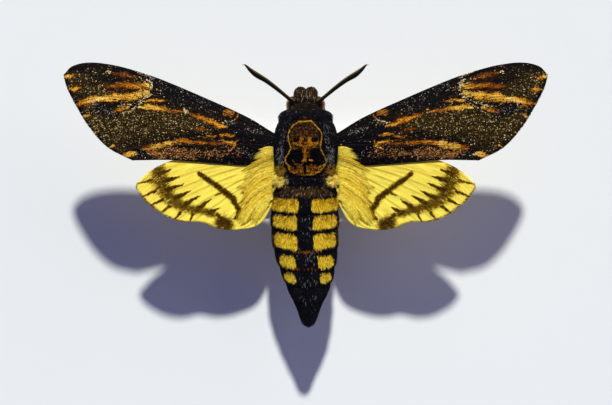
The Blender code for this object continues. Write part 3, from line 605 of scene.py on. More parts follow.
def new_piece(name, points, faces, material, slot, bake=None, smooth=True, **layers):
    """A piece of these triangles that rides on the model. Layers are values or colours at its points."""
    mesh = bpy.data.meshes.new(name)
    mesh.vertices.add(len(points))
    mesh.vertices.foreach_set("co", world(points).ravel())
    mesh.loops.add(faces.size)
    mesh.loops.foreach_set("vertex_index", faces.ravel().astype(np.int32))
    mesh.polygons.add(len(faces))
    mesh.polygons.foreach_set("loop_start", np.arange(0, faces.size, 3, dtype=np.int32))
    mesh.update(calc_edges=True)
    if bake is not None:
        mesh.uv_layers.new(name="OFBake").data.foreach_set("uv", bake[faces.ravel()].ravel())
    for layer, values in layers.items():
        if values.shape[1] == 3:
            mesh.attributes.new(layer, "FLOAT_VECTOR", "POINT").data.foreach_set("vector", values.ravel())
        else:
            mesh.color_attributes.new(layer, "FLOAT_COLOR", "POINT").data.foreach_set("color", values.ravel())
    mesh.polygons.foreach_set("use_smooth", np.full(len(faces), smooth))
    mesh.materials.append(material)
    obj = bpy.data.objects.new(name, mesh)
    bpy.context.scene.collection.objects.link(obj)
    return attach(obj, "root")


def with_alpha(colours):
    return np.concatenate([colours, np.ones((len(colours), 1))], axis=1)


def strands(paths, widths, up):
    """Closed tapered strands: three points round each path point but the last, which is the tip.

    Returns points, triangles, the share along the strand and the place on the strand's own bake patch.
    """
    count, nodes = paths.shape[:2]
    direction = unit(np.gradient(paths, axis=1))
    across = unit(np.cross(direction, up[:, None, :]))
    over = np.cross(across, direction)
    share = np.linspace(0.0, 1.0, nodes)
    taper = np.clip(1.15 - 0.75 * share, 0.0, 1.0)[None, :, None] * widths[:, None, None]
    left, right = paths - across * taper / 2, paths + across * taper / 2
    top = paths + over * taper * 0.3
    rings = np.stack([left, right, top], axis=2)[:, :-1].reshape(count, -1, 3)
    points = np.concatenate([rings, paths[:, -1:]], axis=1)
    ring_faces = []
    for k in range(nodes - 2):
        a, b, c, d, e, f = range(3 * k, 3 * k + 6)
        ring_faces += [(a, d, e), (a, e, b), (b, e, f), (b, f, c), (c, f, d), (c, d, a)]
    a, b, c = range(3 * nodes - 6, 3 * nodes - 3)
    tip = 3 * nodes - 3
    one = np.array(ring_faces + [(a, tip, b), (b, tip, c), (c, tip, a), (0, 1, 2)])
    faces = (one[None] + (np.arange(count) * (tip + 1))[:, None, None]).reshape(-1, 3)
    along = np.append(np.repeat(share[:-1], 3), 1.0)
    sideways = np.append(np.tile([-0.5, 0.5, 0.0], nodes - 1), 0.0)
    ahead = along + np.append(np.tile([0.0, 0.0, 0.3 / nodes], nodes - 1), 0.0)
    patch = np.stack([sideways, ahead - 0.5], -1) * PATCH
    return points.reshape(-1, 3), faces, np.tile(along, count), np.tile(patch, (count, 1))


def points_per_strand(nodes):
    return 3 * nodes - 2


def frames_of(grid):
    """Unit directions at each point of a ring grid: down its length, round it, and out of it."""
    along = unit(np.gradient(grid, axis=0))
    around = unit(np.roll(grid, -1, axis=1) - np.roll(grid, 1, axis=1))
    normal = unit(np.cross(along, around))
    middle = grid.mean(axis=1, keepdims=True)
    flip = np.sign((normal * (grid - middle)).sum(axis=(0, 1, 2)))
    return along, around, normal * flip


def scatter(grid, dense, keep, random):
    """Random places on a ring grid, about so many to the square millimetre where keep is 1.

    Returns the points, the three directions there and the place on the grid as shares.
    """
    rows, columns = grid.shape[:2]
    right = np.roll(grid, -1, axis=1)
    sides = np.cross(right[:-1] - grid[:-1], grid[1:] - grid[:-1])
    area = np.linalg.norm(sides, axis=-1) * (keep[:-1] + keep[1:]) / 2
    count = int(area.sum() * dense * (1.0))
    cell = random.choice(area.size, size=count, p=(area / area.sum()).ravel())
    r, c = np.divmod(cell, columns)
    s, t = random.random((2, count, 1))
    after = (c + 1) % columns
    found = []
    for layer in (grid, *frames_of(grid)):
        low = layer[r, c] * (1 - t) + layer[r, after] * t
        high = layer[r + 1, c] * (1 - t) + layer[r + 1, after] * t
        found.append(low * (1 - s) + high * s)
    place = np.stack([(c + t[:, 0]) / columns, (r + s[:, 0]) / (rows - 1)], -1)
    return (*found, place)


def lay_coat(name, roots, normals, lie, size, trim, paint, place, material, slot, random):
    """A coat piece: one short bent tuft at each root, lying along lie, with its length times trim.

    paint is the tufts' colours, or a function that gives them from the places of their middles.
    """
    count = len(roots)
    trim = np.broadcast_to(trim, count)[:, None]
    length = size["length"] * trim * random.uniform(0.65, 1.3, (count, 1))
    lift = size["lift"] * (0.4 + 0.6 * trim) * random.uniform(0.4, 1.6, (count, 1))
    lie = unit(lie + random.normal(0.0, 0.22, (count, 3)))
    lie = unit(lie - normals * (lie * normals).sum(-1, keepdims=True))
    start = roots - normals * ROOT_SUNK
    middle = roots + lie * length * 0.5 + normals * lift
    tip = roots + lie * length + normals * lift * random.uniform(0.5, 1.3, (count, 1))
    width = size["width"] * random.uniform(0.75, 1.35, count)
    points, faces, along, patch = strands(np.stack([start, middle, tip], 1), width, normals)
    tint = paint(middle, normals, random) if callable(paint) else paint
    tint = tint * random.uniform(0.62, 1.36, (count, 1))
    per = points_per_strand(3)
    # Each tuft is painted darker at its root and lighter at its tip: painted shade deep in the pile and
    # painted light on the tips.
    colours = np.repeat(tint, per, axis=0) * (0.52 + 0.72 * along)[:, None]
    bake = np.repeat(PATCH + place * (1 - 2 * PATCH), per, axis=0) + patch
    layer = with_alpha(colours)
    return new_piece(name, points, faces, material, slot, bake=bake, smooth=False, Paint=layer)


# Node helpers.

class Nodes:
    """A shader node tree that is being built. An input is a plain value or another node's output."""

    def __init__(self, tree):
        self.tree = tree

    def add(self, kind, inputs=None, **settings):
        node = self.tree.nodes.new("ShaderNode" + kind)
        for key, value in settings.items():
            setattr(node, key, value)
        for key, value in (inputs or {}).items():
            if isinstance(value, bpy.types.NodeSocket):
                self.tree.links.new(value, node.inputs[key])
            else:
                node.inputs[key].default_value = value
        return node

    def maths(self, operation, *values):
        return self.add("Math", dict(enumerate(values)), operation=operation).outputs[0]

    def plus(self, a, b):
        return self.maths("ADD", a, b)

    def times(self, a, b):
        return self.maths("MULTIPLY", a, b)

    def line(self, value, factor, offset):
        return self.maths("MULTIPLY_ADD", value, factor, offset)

    def swing(self, value, amount):
        """A value from 0 to 1 turned into one that swings this much about 0."""
        return self.times(self.maths("SUBTRACT", value, 0.5), amount)

    def ramp(self, value, low, high, start=0.0, end=1.0):
        """A smooth step from start to end as value goes from low to high."""
        inputs = {"Value": value, "From Min": low, "From Max": high, "To Min": start, "To Max": end}
        return self.add("MapRange", inputs, interpolation_type="SMOOTHSTEP").outputs[0]

    def mixed(self, factor, a, b):
        """A mix of two colours; a colour is (red, green, blue) or another node's output."""
        a, b = ((*c, 1.0) if isinstance(c, tuple) else c for c in (a, b))
        return self.add("Mix", {0: factor, 6: a, 7: b}, data_type="RGBA").outputs[2]

    def divided(self, place, size):
        return self.add("VectorMath", {0: place, 1: size}, operation="DIVIDE").outputs[0]

    def scaled(self, vector, factor):
        return self.add("VectorMath", {0: vector, "Scale": factor}, operation="SCALE").outputs[0]

    def noise(self, place, detail, roughness=0.5, scale=1.0):
        inputs = {"Vector": place, "Scale": scale, "Detail": detail, "Roughness": roughness}
        return self.add("TexNoise", inputs).outputs[0]


# Shared effects. Each takes the inputs of its node group, and gives its outputs by name.

def build_specks(nodes, given):
    """Cells of a random pattern, of which a share is picked."""
    place = nodes.divided(given["Place"], given["Size"])
    cells = nodes.add("TexVoronoi", {"Vector": place, "Scale": 1.0, "Randomness": 1.0}).outputs
    chance = nodes.add("SeparateColor", {0: cells["Color"]}).outputs[0]
    picked = nodes.maths("LESS_THAN", chance, given["Share"])
    core = nodes.ramp(cells["Distance"], 0.62, 0.3)
    height = nodes.maths("SUBTRACT", 1.0, cells["Distance"])
    return {"Mask": nodes.times(picked, core), "Height": height, "Chance": chance}


def build_grainy_edge(nodes, given):
    """A soft mask turned into one with a crisp edge that is broken up by grain."""
    grain = nodes.noise(nodes.divided(given["Place"], given["Size"]), 3.0, 0.65)
    ragged = nodes.plus(given["Mask"], nodes.swing(grain, given["Grain"]))
    return {"Mask": nodes.ramp(ragged, 0.36, 0.64)}


def build_tone(nodes, given):
    """A colour made lighter and darker in patches."""
    patches = nodes.noise(nodes.divided(given["Place"], given["Size"]), 4.0, 0.6)
    bright = nodes.plus(1.0, nodes.times(nodes.swing(patches, given["Amount"]), 2.0))
    return {"Colour": nodes.scaled(given["Colour"], bright), "Patches": patches}


def build_pile(nodes, given):
    """Fine hair-like streaks that run along the lie."""
    place = nodes.divided(given["Lie"], given["Size"])
    broad = nodes.noise(place, 2.0)
    fine = nodes.noise(place, 3.0, 0.7, 3.1)
    both = nodes.plus(nodes.times(broad, 0.55), nodes.times(fine, 0.45))
    return {"Streaks": nodes.ramp(both, 0.32, 0.68), "Height": both}


# Each effect's inputs, with their kinds and values if not joined, its outputs, and what builds it.
PLACE = ("Place", "Vector", (0.0, 0.0, 0.0))
SIZE = ("Size", "Vector", (0.2, 0.2, 0.2))
EFFECTS = {
    "specks": ((PLACE, SIZE, ("Share", "Float", 0.5)), ("Mask", "Height", "Chance"), build_specks),
    "grainy edge": (
        (PLACE, SIZE, ("Mask", "Float", 0.0), ("Grain", "Float", 0.6)), ("Mask",), build_grainy_edge,
    ),
    "tone": (
        (PLACE, SIZE, ("Colour", "Color", (0.5, 0.5, 0.5, 1.0)), ("Amount", "Float", 0.3)),
        ("Colour", "Patches"), build_tone,
    ),
    "pile": (
        (("Lie", "Vector", (0.0, 0.0, 0.0)), ("Size", "Vector", (4.0, 0.3, 1.0))),
        ("Streaks", "Height"), build_pile,
    ),
}


def make_effects():
    """A node group for each shared effect."""
    groups = {}
    for name, (inputs, outputs, build) in EFFECTS.items():
        tree = bpy.data.node_groups.new(name, "ShaderNodeTree")
        for label, kind, value in inputs:
            socket = tree.interface.new_socket(label, in_out="INPUT", socket_type="NodeSocket" + kind)
            socket.default_value = value
        for label in outputs:
            kind = "NodeSocketColor" if label == "Colour" else "NodeSocketFloat"
            tree.interface.new_socket(label, in_out="OUTPUT", socket_type=kind)
        enter = tree.nodes.new("NodeGroupInput")
        leave = tree.nodes.new("NodeGroupOutput")
        for label, value in build(Nodes(tree), enter.outputs).items():
            tree.links.new(value, leave.inputs[label])
        groups[name] = tree
    return groups


# Materials.

class Look(Nodes):
    """A material that is being built: its nodes, its shader and the place on the object in millimetres."""

    def __init__(self, name, groups, **finish):
        self.material = bpy.data.materials.new(name)
        self.material.use_nodes = True
        super().__init__(self.material.node_tree)
        self.groups = groups
        self.shader = self.tree.nodes["Principled BSDF"]
        for key, value in finish.items():
            self.shader.inputs[key.replace("_", " ")].default_value = value
        self.place = self.scaled(self.add("TexCoord").outputs["Object"], 1 / MM)

    def effect(self, name, **inputs):
        return self.add("Group", inputs, node_tree=self.groups[name]).outputs

    def specks(self, size, share=0.5):
        size = size if isinstance(size, tuple) else (size,) * 3
        return self.effect("specks", Place=self.place, Size=size, Share=share)

    def grainy_edge(self, size, mask, grain):
        return self.effect("grainy edge", Place=self.place, Size=(size,) * 3, Mask=mask, Grain=grain)["Mask"]

    def tone(self, size, colour, amount):
        return self.effect("tone", Place=self.place, Size=(size,) * 3, Colour=colour, Amount=amount)

    def pile(self, lie, *size):
        return self.effect("pile", Lie=lie, Size=size)

    def layer(self, name):
        """A layer of the mesh: a colour, or a vector."""
        return self.add("Attribute", attribute_name=name).outputs

    def parts(self, name):
        """The three parts of a colour layer, and its alpha."""
        layer = self.layer(name)
        split = self.add("SeparateColor", {0: layer["Color"]})
        return (*split.outputs[:3], layer["Alpha"])

    def finish(self, colour, roughness, height, bump, distance=0.1):
        """Joins a colour, a roughness and a height in millimetres to the shader; returns the material."""
        inputs = {"Strength": bump, "Distance": distance * MM, "Height": height}
        normal = self.add("Bump", inputs).outputs[0]
        for name, value in (("Base Color", colour), ("Roughness", roughness), ("Normal", normal)):
            self.tree.links.new(value, self.shader.inputs[name])
        return self.material


def forewing_ground(look, streaks, lines, bright):
    """The forewing's dark scales with olive, pale and rosy specks; also the chance of each fine cell."""
    olive, dark, _, pink = look.parts("Ground")
    lit = look.maths("SUBTRACT", 1.0, look.times(dark, 0.93))
    lit = look.times(lit, look.line(lines, 1.5, 0.2))
    ground = look.mixed(olive, (0.0042, 0.0030, 0.0027), (0.0100, 0.0063, 0.0022))
    ground = look.mixed(dark, ground, (0.0026, 0.0024, 0.0038))
    fine = look.specks(0.18, look.times(look.line(olive, 0.40, 0.12), lit))
    ground = look.mixed(fine["Mask"], ground, (0.095, 0.055, 0.010))
    dust = look.specks(0.29, look.times(look.line(olive, 0.17, 0.035), lit))
    ground = look.mixed(dust["Mask"], ground, look.mixed(bright, (0.20, 0.125, 0.024), (1.0, 0.80, 0.32)))
    rosy = look.specks(0.24, look.times(pink, look.line(streaks, 0.7, 0.55)))
    flesh = look.mixed(bright, (0.30, 0.090, 0.012), (0.98, 0.55, 0.20))
    return look.mixed(rosy["Mask"], ground, flesh), fine["Chance"]


def forewing_orange(look, streaks, lines, chance):
    """The colour of the orange streaks, from rust where they are weak to yellow where they are pale."""
    orange, paleness = look.parts("Marks")[:2]
    tint = look.plus(paleness, look.swing(streaks, 0.6))
    tint = look.plus(tint, look.swing(chance, 0.5))
    tint = look.plus(tint, look.line(orange, 0.8, -0.66))
    hue = look.mixed(look.ramp(tint, -0.30, 0.25), (0.045, 0.011, 0.001), (0.30, 0.068, 0.0015))
    hue = look.mixed(look.ramp(tint, 0.15, 0.80), hue, (0.90, 0.385, 0.016))
    hue = look.mixed(look.ramp(tint, 0.70, 1.30), hue, (1.0, 0.73, 0.12))
    groove = look.times(look.maths("SUBTRACT", 1.0, lines), 0.45)
    return look.mixed(groove, hue, (0.05, 0.016, 0.002))


def forewing_material(groups):
    look = Look("forewing scales", groups, Sheen_Weight=0.005, Sheen_Roughness=0.5, Specular_IOR_Level=0.035)
    lie = look.layer("Lie")["Vector"]
    orange, _, pale, under = look.parts("Marks")
    frost = look.parts("Ground")[2]
    vein = look.parts("Detail")[0]
    pile = look.pile(lie, 2.8, 0.30, 1.0)
    streaks = pile["Streaks"]
    lines = look.pile(lie, 5.0, 0.16, 1.0)["Streaks"]
    scales = look.specks(0.2)
    chance = scales["Chance"]
    bright = look.times(chance, chance)
    ground, fine_chance = forewing_ground(look, streaks, lines, bright)

    reach = look.plus(look.line(orange, 1.22, -0.22), look.swing(streaks, 0.85))
    grains = look.specks((0.21, 0.2, 0.22))["Chance"]
    hue = forewing_orange(look, streaks, lines, chance)
    colour = look.mixed(look.maths("LESS_THAN", grains, reach), ground, hue)
    gaps = look.times(look.maths("LESS_THAN", fine_chance, 0.15), 0.85)
    colour = look.mixed(look.times(gaps, orange), colour, (0.03, 0.012, 0.002))

    reach = look.plus(look.line(pale, 1.15, -0.32), look.swing(streaks, 0.9))
    flecks = look.specks((0.26, 0.25, 0.24))["Chance"]
    cream = look.mixed(chance, (0.36, 0.22, 0.05), (0.92, 0.76, 0.38))
    colour = look.mixed(look.maths("LESS_THAN", flecks, reach), colour, cream)
    ash = look.mixed(bright, (0.11, 0.09, 0.07), (0.66, 0.59, 0.47))
    colour = look.mixed(look.specks(0.21, frost)["Mask"], colour, ash)
    colour = look.mixed(look.times(vein, 0.8), colour, (0.010, 0.007, 0.005))
    brown = look.mixed(streaks, (0.24, 0.13, 0.035), (0.50, 0.30, 0.07))
    toned = look.tone(1.6, look.mixed(under, colour, brown), 0.45)
    rough = look.ramp(toned["Patches"], 0.2, 0.8, 0.5, 0.75)
    height = look.plus(look.times(scales["Height"], 0.6), pile["Height"])
    return look.finish(toned["Colour"], rough, height, 0.55, 0.07)


def hindwing_material(groups):
    look = Look("hindwing scales", groups, Sheen_Weight=0.01, Sheen_Roughness=0.5, Specular_IOR_Level=0.03)
    lie = look.layer("Lie")["Vector"]
    brown, warm, vein, under = look.parts("Marks")
    streaks = look.pile(lie, 5.0, 0.30, 1.0)["Streaks"]
    hairs, relief = look.pile(lie, 2.2, 0.11, 1.0)
    warmth = look.times(streaks, look.line(warm, 0.90, 0.16))
    yellow = look.mixed(warmth, (1.0, 0.86, 0.065), (0.66, 0.34, 0.008))
    yellow = look.mixed(look.times(hairs, 0.40), yellow, (1.0, 0.95, 0.26))
    yellow = look.mixed(look.times(vein, 0.9), yellow, (0.26, 0.12, 0.005))
    band = look.grainy_edge(0.3, look.plus(brown, look.swing(hairs, 0.95)), 0.7)
    thin = look.times(look.maths("POWER", hairs, 3.2), look.line(brown, -1.6, 1.95))
    dark = look.mixed(thin, (0.0080, 0.0040, 0.0008), (0.60, 0.27, 0.008))
    colour = look.mixed(band, yellow, dark)
    colour = look.mixed(look.times(under, 0.5), colour, (0.75, 0.50, 0.12))
    scales = look.specks(0.15)
    grain = look.times(scales["Chance"], look.line(band, -0.14, 0.14))
    toned = look.tone(2.5, look.mixed(grain, colour, (0.25, 0.12, 0.0)), 0.14)
    rough = look.ramp(toned["Patches"], 0.2, 0.8, 0.5, 0.7)
    height = look.plus(look.times(scales["Height"], 0.3), relief)
    return look.finish(toned["Colour"], rough, height, 0.6, 0.09)


def painted_material(groups, name, grain, bump, **finish):
    """Skin or hair that takes its colours from the painted layer, with grain and patches over them."""
    look = Look(name, groups, **finish)
    cells = look.specks(grain)
    colour = look.mixed(look.times(cells["Chance"], 0.35), look.layer("Paint")["Color"], (0.0, 0.0, 0.0))
    toned = look.tone(0.9, colour, 0.3)
    rough = look.ramp(toned["Patches"], 0.2, 0.8, 0.42, 0.7)
    return look.finish(toned["Colour"], rough, cells["Height"], bump)


def eye_material(groups):
    """Fine dark facets. The Lie layer holds how far each place is on the pale rim."""
    look = Look("eye", groups, Specular_IOR_Level=0.07)
    facets = look.specks(0.09)
    rim = look.add("SeparateXYZ", {0: look.layer("Lie")["Vector"]}).outputs[0]
    band = look.ramp(look.noise(look.place, 3.0, scale=0.9), 0.4, 0.65)
    dark = look.mixed(band, (0.010, 0.006, 0.004), (0.035, 0.018, 0.007))
    toned = look.tone(0.4, look.mixed(rim, dark, (0.46, 0.25, 0.05)), 0.3)
    rough = look.ramp(facets["Chance"], 0.0, 1.0, 0.25, 0.4)
    return look.finish(toned["Colour"], rough, facets["Height"], 0.35, 0.03)


def horn_material(groups, name, dark, light, rings, **finish):
    """Ringed horn. The Lie layer holds the length along it, its side that faces forward to the lamp, which
    gets a painted highlight, and its pale tip.
    """
    look = Look(name, groups, **finish)
    length, front, tip = look.add("SeparateXYZ", {0: look.layer("Lie")["Vector"]}).outputs
    wave = look.maths("SINE", look.times(length, 2 * math.pi / rings))
    ridge = look.ramp(wave, -1.0, 0.4)
    # On the side that faces forward to the lamp, the colour turns to the light one: a painted highlight.
    colour = look.mixed(look.grainy_edge(0.16, front, 0.9), dark, light)
    colour = look.mixed(tip, colour, (0.75, 0.68, 0.60))
    low = look.maths("SUBTRACT", 0.6, look.times(ridge, 0.6))
    toned = look.tone(0.5, look.mixed(low, colour, (0.004, 0.003, 0.002)), 0.3)
    return look.finish(toned["Colour"], look.ramp(toned["Patches"], 0.2, 0.8, 0.35, 0.6), ridge, 0.6, 0.05)


def acrylic_material(groups):
    look = Look("white acrylic", groups, IOR=1.49, Coat_Weight=0.25, Coat_Roughness=0.2)
    toned = look.tone(14.0, (0.80, 0.81, 0.82, 1.0), 0.04)
    wear = look.pile(look.place, 9.0, 0.5, 9.0)
    dust = look.times(look.specks(0.8, 0.05)["Mask"], 0.25)
    colour = look.mixed(dust, toned["Colour"], (0.62, 0.62, 0.62))
    return look.finish(colour, look.ramp(wear["Streaks"], 0.0, 1.0, 0.3, 0.42), wear["Height"], 0.05, 0.02)


def steel_material(groups):
    look = Look("brushed steel", groups, Metallic=1.0, Anisotropic=0.5)
    brushed, relief = look.pile(look.place, 6.0, 6.0, 0.06)
    colour = look.mixed(brushed, (0.55, 0.55, 0.56), (0.68, 0.68, 0.69))
    toned = look.tone(2.0, colour, 0.1)
    return look.finish(toned["Colour"], look.ramp(brushed, 0.0, 1.0, 0.24, 0.4), relief, 0.12, 0.02)


def floor_material(groups):
    look = Look("pale ground", groups, Specular_IOR_Level=0.1)
    away = look.add("VectorMath", {0: look.place}, operation="LENGTH").outputs["Value"]
    # The floor is painted a little brighter and warmer within 12 to 62 mm of the middle: a painted pool of
    # light round the moth.
    colour = look.mixed(look.ramp(away, 12.0, 62.0), (0.735, 0.765, 0.755), (0.724, 0.760, 0.735))
    toned = look.tone(40.0, colour, 0.01)
    rough = look.ramp(toned["Patches"], 0.2, 0.8, 0.8, 0.9)
    return look.finish(toned["Colour"], rough, look.specks(0.3)["Height"], 0.04, 0.05)


# Wings.

def wing_patch(lead, outer, trail):
    """A function from (share outwards, share of the chord) to (x, y) on a wing between its edges."""
    lead_at, outer_at, trail_at = smooth_line(lead), smooth_line(outer), smooth_line(trail)
    tip_a, tip_b = np.array(outer[0], float), np.array(outer[-1], float)

    def at(u, v):
        across_u, across_v = u[..., None], v[..., None]
        ruled = lead_at(u) * (1 - across_v) + trail_at(u) * across_v
        tip = tip_a * (1 - across_v) + tip_b * across_v
        return ruled + (outer_at(v) - tip) * across_u

    return at


def wing_plane(x, root_z):
    return root_z + math.tan(DIHEDRAL) * (x - WING_ROOT_X)


def wing_middle(u, v, flat, root_z, camber):
    """Height of the middle of a wing's thickness: as packed, but settled where the wings overlap."""
    arch = camber * 4 * v * (1 - v) * (0.35 + 0.65 * np.sin(np.pi * np.minimum(1.0, u + 0.15)))
    if root_z == FOREWING_ROOT_Z:
        settle = -FOREWING_SETTLE * ease(v, 0.3, 1.0)
    else:
        settle = HINDWING_SETTLE * (1 - ease(v, 0.0, 0.55))
    return wing_plane(flat[..., 0], root_z) + arch + settle


def vein_field(u, v, chord, veins):
    """How much of a vein each point lies on, from 0 to 1."""
    field = np.zeros(u.shape)
    for root, tip, start, end in veins:
        share = root + (tip - root) * u ** 1.3
        rise = 1.0 if start == 0 else ease(u, start - 0.04, start + 0.04)
        fall = 1.0 if end == 1 else 1 - ease(u, end - 0.08, end)
        field = np.maximum(field, rise * fall * (1 - 0.45 * u) * hump((v - share) * chord, 0.0, VEIN_WIDTH))
    return field


def wing_surfaces(outline, veins, root_z, camber, seed):
    """The upper and lower side of a right wing as one closed mesh, and what its paint needs at each point."""
    spacing = WING_SPACING * 1.0
    length = np.hypot(*(np.array(outline[0][-1]) - outline[0][0]))
    rows = int(length / spacing)
    columns = int(22.0 / spacing)
    u, v = np.meshgrid(np.linspace(0, 1, rows), np.linspace(0, 1, columns), indexing="ij")
    at = wing_patch(*outline)
    flat = at(u, v)
    chord = np.linalg.norm(at(u, np.ones_like(v)) - at(u, np.zeros_like(v)), axis=-1)
    vein = vein_field(u, v, chord, veins)
    middle = wing_middle(u, v, flat, root_z, camber)
    grain = np.stack([u.ravel() * 9, v.ravel() * 26], -1)
    pleat = (noise(grain, 1.0, seed) - 0.5).reshape(u.shape) * 0.16
    edge = np.minimum.reduce([ease(v, 0, 0.02) + 0.35, 1.35 - ease(v, 0.98, 1.0), 1.25 - ease(u, 0.985, 1.0)])
    half = MEMBRANE / 2 * np.clip(edge, 0.25, 1.0)
    inside = ease(u, 0.0, 0.04) * (1 - ease(u, 0.97, 1.0)) * ease(v, 0.0, 0.05) * (1 - ease(v, 0.95, 1.0))
    upper = middle + half + vein * VEIN_RELIEF + pleat * inside
    lower = middle - half - vein * VEIN_RELIEF * 0.8 + pleat * inside
    points = np.concatenate([
        np.concatenate([flat, upper[..., None]], -1).reshape(-1, 3),
        np.concatenate([flat, lower[..., None]], -1).reshape(-1, 3),
    ])
    faces = sew(rows, columns)
    both = {
        "u": np.tile(u.ravel(), 2), "v": np.tile(v.ravel(), 2), "vein": np.tile(vein.ravel(), 2),
        "under": np.repeat([0.0, 1.0], u.size),
    }
    return points, outwards(points, faces), both


def sew(rows, columns):
    """Triangles of two equal grids, one after the other, joined along their rims."""
    count = rows * columns
    top = grid_faces(rows, columns, False)
    number = np.arange(count).reshape(rows, columns)
    rim = np.concatenate([number[0], number[1:, -1], number[-1, -2::-1], number[-2:0:-1, 0]])
    after = np.roll(rim, -1)
    band = np.concatenate([
        np.stack([after, rim, rim + count], -1),
        np.stack([after, rim + count, after + count], -1),
    ])
    return np.concatenate([top, top[:, ::-1] + count, band])


def wing_bake_map(both):
    """The upper side fills the lower half of the map, and the lower side the upper half."""
    return np.stack([0.01 + 0.98 * both["u"], 0.01 + 0.47 * both["v"] + 0.51 * both["under"]], -1)


def shaken(points, seed, coarse, fine):
    """Photo places of the points, folded, and moved about so that marks get ragged edges."""
    x, y = photo_place(points)
    x = np.abs(x - BODY_LINE)
    for size, amount in ((2.4, coarse), (0.7, fine)):
        x = x + (noise(points, size, seed) - 0.5) * amount
        y = y + (noise(points, size, seed + 1) - 0.5) * amount
    return x, y


def paint_forewing(points, both, seed):
    """The layers of forewing paint: marks, ground and detail."""
    x, y = shaken(points, seed, 2.4, 2.2)
    top = 1 - both["under"]
    orange = np.zeros(len(x))
    paleness = np.zeros(len(x))
    for line, widths, strength, pale in FOREWING_ORANGE:
        distance, along = line_distance(x, y, folded(line))
        width = np.interp(along, range(len(line)), widths)
        mask = strength * (1 - ease(distance / width, 0.2, 1.75))
        stronger = mask > orange
        paleness[stronger] = np.interp(along, range(len(line)), pale)[stronger]
        orange = np.maximum(orange, mask)
    ochre = wing_marks(x, y, FOREWING_OCHRE)
    paleness = np.where(ochre > orange, 0.42, paleness)
    orange = np.maximum(orange, ochre * 0.9)
    pale = 0.85 * wing_marks(x, y, FOREWING_PALE, 0.9)
    olive = wing_marks(x, y, FOREWING_OLIVE, 0.6)
    dark = wing_marks(x, y, FOREWING_DARK, 0.45)
    basal = 1 - ease(x, 78.0, 88.0)
    costal = (1 - ease(both["v"], 0.0, 0.10)) * 0.9
    dark = np.maximum.reduce([dark, basal * 0.9, costal])
    frost = np.maximum(wing_marks(x, y, FOREWING_FROST, 0.6), 0.008)
    pink = wing_marks(x, y, FOREWING_PINK, 0.6)
    margin = ease(both["u"], 0.985, 1.0)
    dark = np.maximum(dark, margin * 0.8 * (orange < 0.4))
    pale = np.maximum(pale * top, both["under"] * 0.2)
    marks = np.stack([orange * top, paleness, pale, both["under"]], -1)
    ground = np.stack([olive, dark * (1 - orange), frost * top, pink * top], -1)
    vein = both["vein"] * (0.75 + 0.25 * orange)
    detail = with_alpha(np.repeat(vein[:, None], 3, axis=1))
    return {"Marks": marks, "Ground": ground, "Detail": detail}


def paint_hindwing(points, both, seed):
    """The layer of hindwing paint: brown, warmth, veins and which side it is."""
    x, y = shaken(points, seed, 1.6, 1.4)
    brown = wing_marks(x, y, HINDWING_BROWN, 0.75)
    for foot, tip in HINDWING_TEETH:
        brown = np.maximum(brown, stroke(x, y, folded((foot, tip)), (3.4, 0.45), 0.5))
    for foot, tip in HINDWING_TICKS:
        brown = np.maximum(brown, stroke(x, y, folded((foot, tip)), (1.9, 0.6), 0.6))
    rim = ease(both["u"], 0.986, 1.0) * 0.55 * (noise(points, 1.1, 5) > 0.35)
    brown = np.maximum(brown, rim) * (1 - 0.45 * both["under"])
    inner = 1 - ease(x, 50.0, 74.0)
    warm = np.clip(0.25 + 0.5 * inner * noise(points, 3.0, 9) + 0.35 * hump(both["v"], 0.0, 0.25), 0.0, 1.0)
    return {"Marks": np.stack([brown, warm, both["vein"] * 0.8, both["under"]], -1)}


def mirror_mesh(points, faces, side):
    if side > 0:
        return points, faces
    return points * (-1.0, 1.0, 1.0), faces[:, ::-1]


def lie_layer(both):
    return np.stack([both["u"] * LIE_LENGTH, both["v"] * LIE_CHORD, both["under"] * UNDER_APART], -1)


# Each wing: its front, outer and rear edge, veins, height at the root, camber and paint.
WINGS = {
    "forewing": (
        (FOREWING_COSTA, FOREWING_TERMEN, FOREWING_DORSUM), FOREWING_VEINS, FOREWING_ROOT_Z,
        FOREWING_CAMBER, paint_forewing,
    ),
    "hindwing": (
        (HINDWING_LEAD, HINDWING_TERMEN, HINDWING_INNER), HINDWING_VEINS, HINDWING_ROOT_Z,
        HINDWING_CAMBER, paint_hindwing,
    ),
}


def wing_piece(name, kind, side, points, faces, both, bake, seed, materials):
    """A piece of a wing on either side, with its paint."""
    placed, turned = mirror_mesh(points, faces, side)
    layers = WINGS[kind][-1](placed, both, seed)
    slot = kind + "_scales"
    return new_piece(
        name, placed, turned, materials[kind], slot, bake=bake, Lie=lie_layer(both), **layers
    )


def make_wings(materials, wings):
    for kind, (points, faces, both) in wings.items():
        bake = wing_bake_map(both)
        for side, word in SIDES:
            name = f"{kind}_scales_{word}"
            piece = wing_piece(name, kind, side, points, faces, both, bake, 20 + side, materials)
            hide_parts(f"{kind}_{word}")


def wing_top(wings):
    """A function giving the height of the right wings' upper side, smooth where one overlaps the other."""
    columns = NET_FROM[0] + NET_CELL * np.arange(NET_SIZE[0])
    net = np.repeat(wing_plane(columns, HINDWING_ROOT_Z)[:, None], NET_SIZE[1], axis=1)
    for points, _, both in wings.values():
        top = points[both["under"] == 0]
        cell = ((top[:, :2] - NET_FROM) / NET_CELL).round().astype(int)
        inside = ((cell >= 0) & (cell < NET_SIZE)).all(axis=1)
        np.maximum.at(net, tuple(cell[inside].T), top[inside, 2])
    for axis in (0, 1):
        net = (net + np.roll(net, 1, axis) + np.roll(net, -1, axis)) / 3

    def height(x, y):
        across, along = (x - NET_FROM[0]) / NET_CELL, (y - NET_FROM[1]) / NET_CELL
        i = np.clip(across.astype(int), 0, NET_SIZE[0] - 2)
        j = np.clip(along.astype(int), 0, NET_SIZE[1] - 2)
        s, t = np.clip(across - i, 0, 1), np.clip(along - j, 0, 1)
        near = net[i, j] * (1 - t) + net[i, j + 1] * t
        far = net[i + 1, j] * (1 - t) + net[i + 1, j + 1] * t
        return near * (1 - s) + far * s

    return height


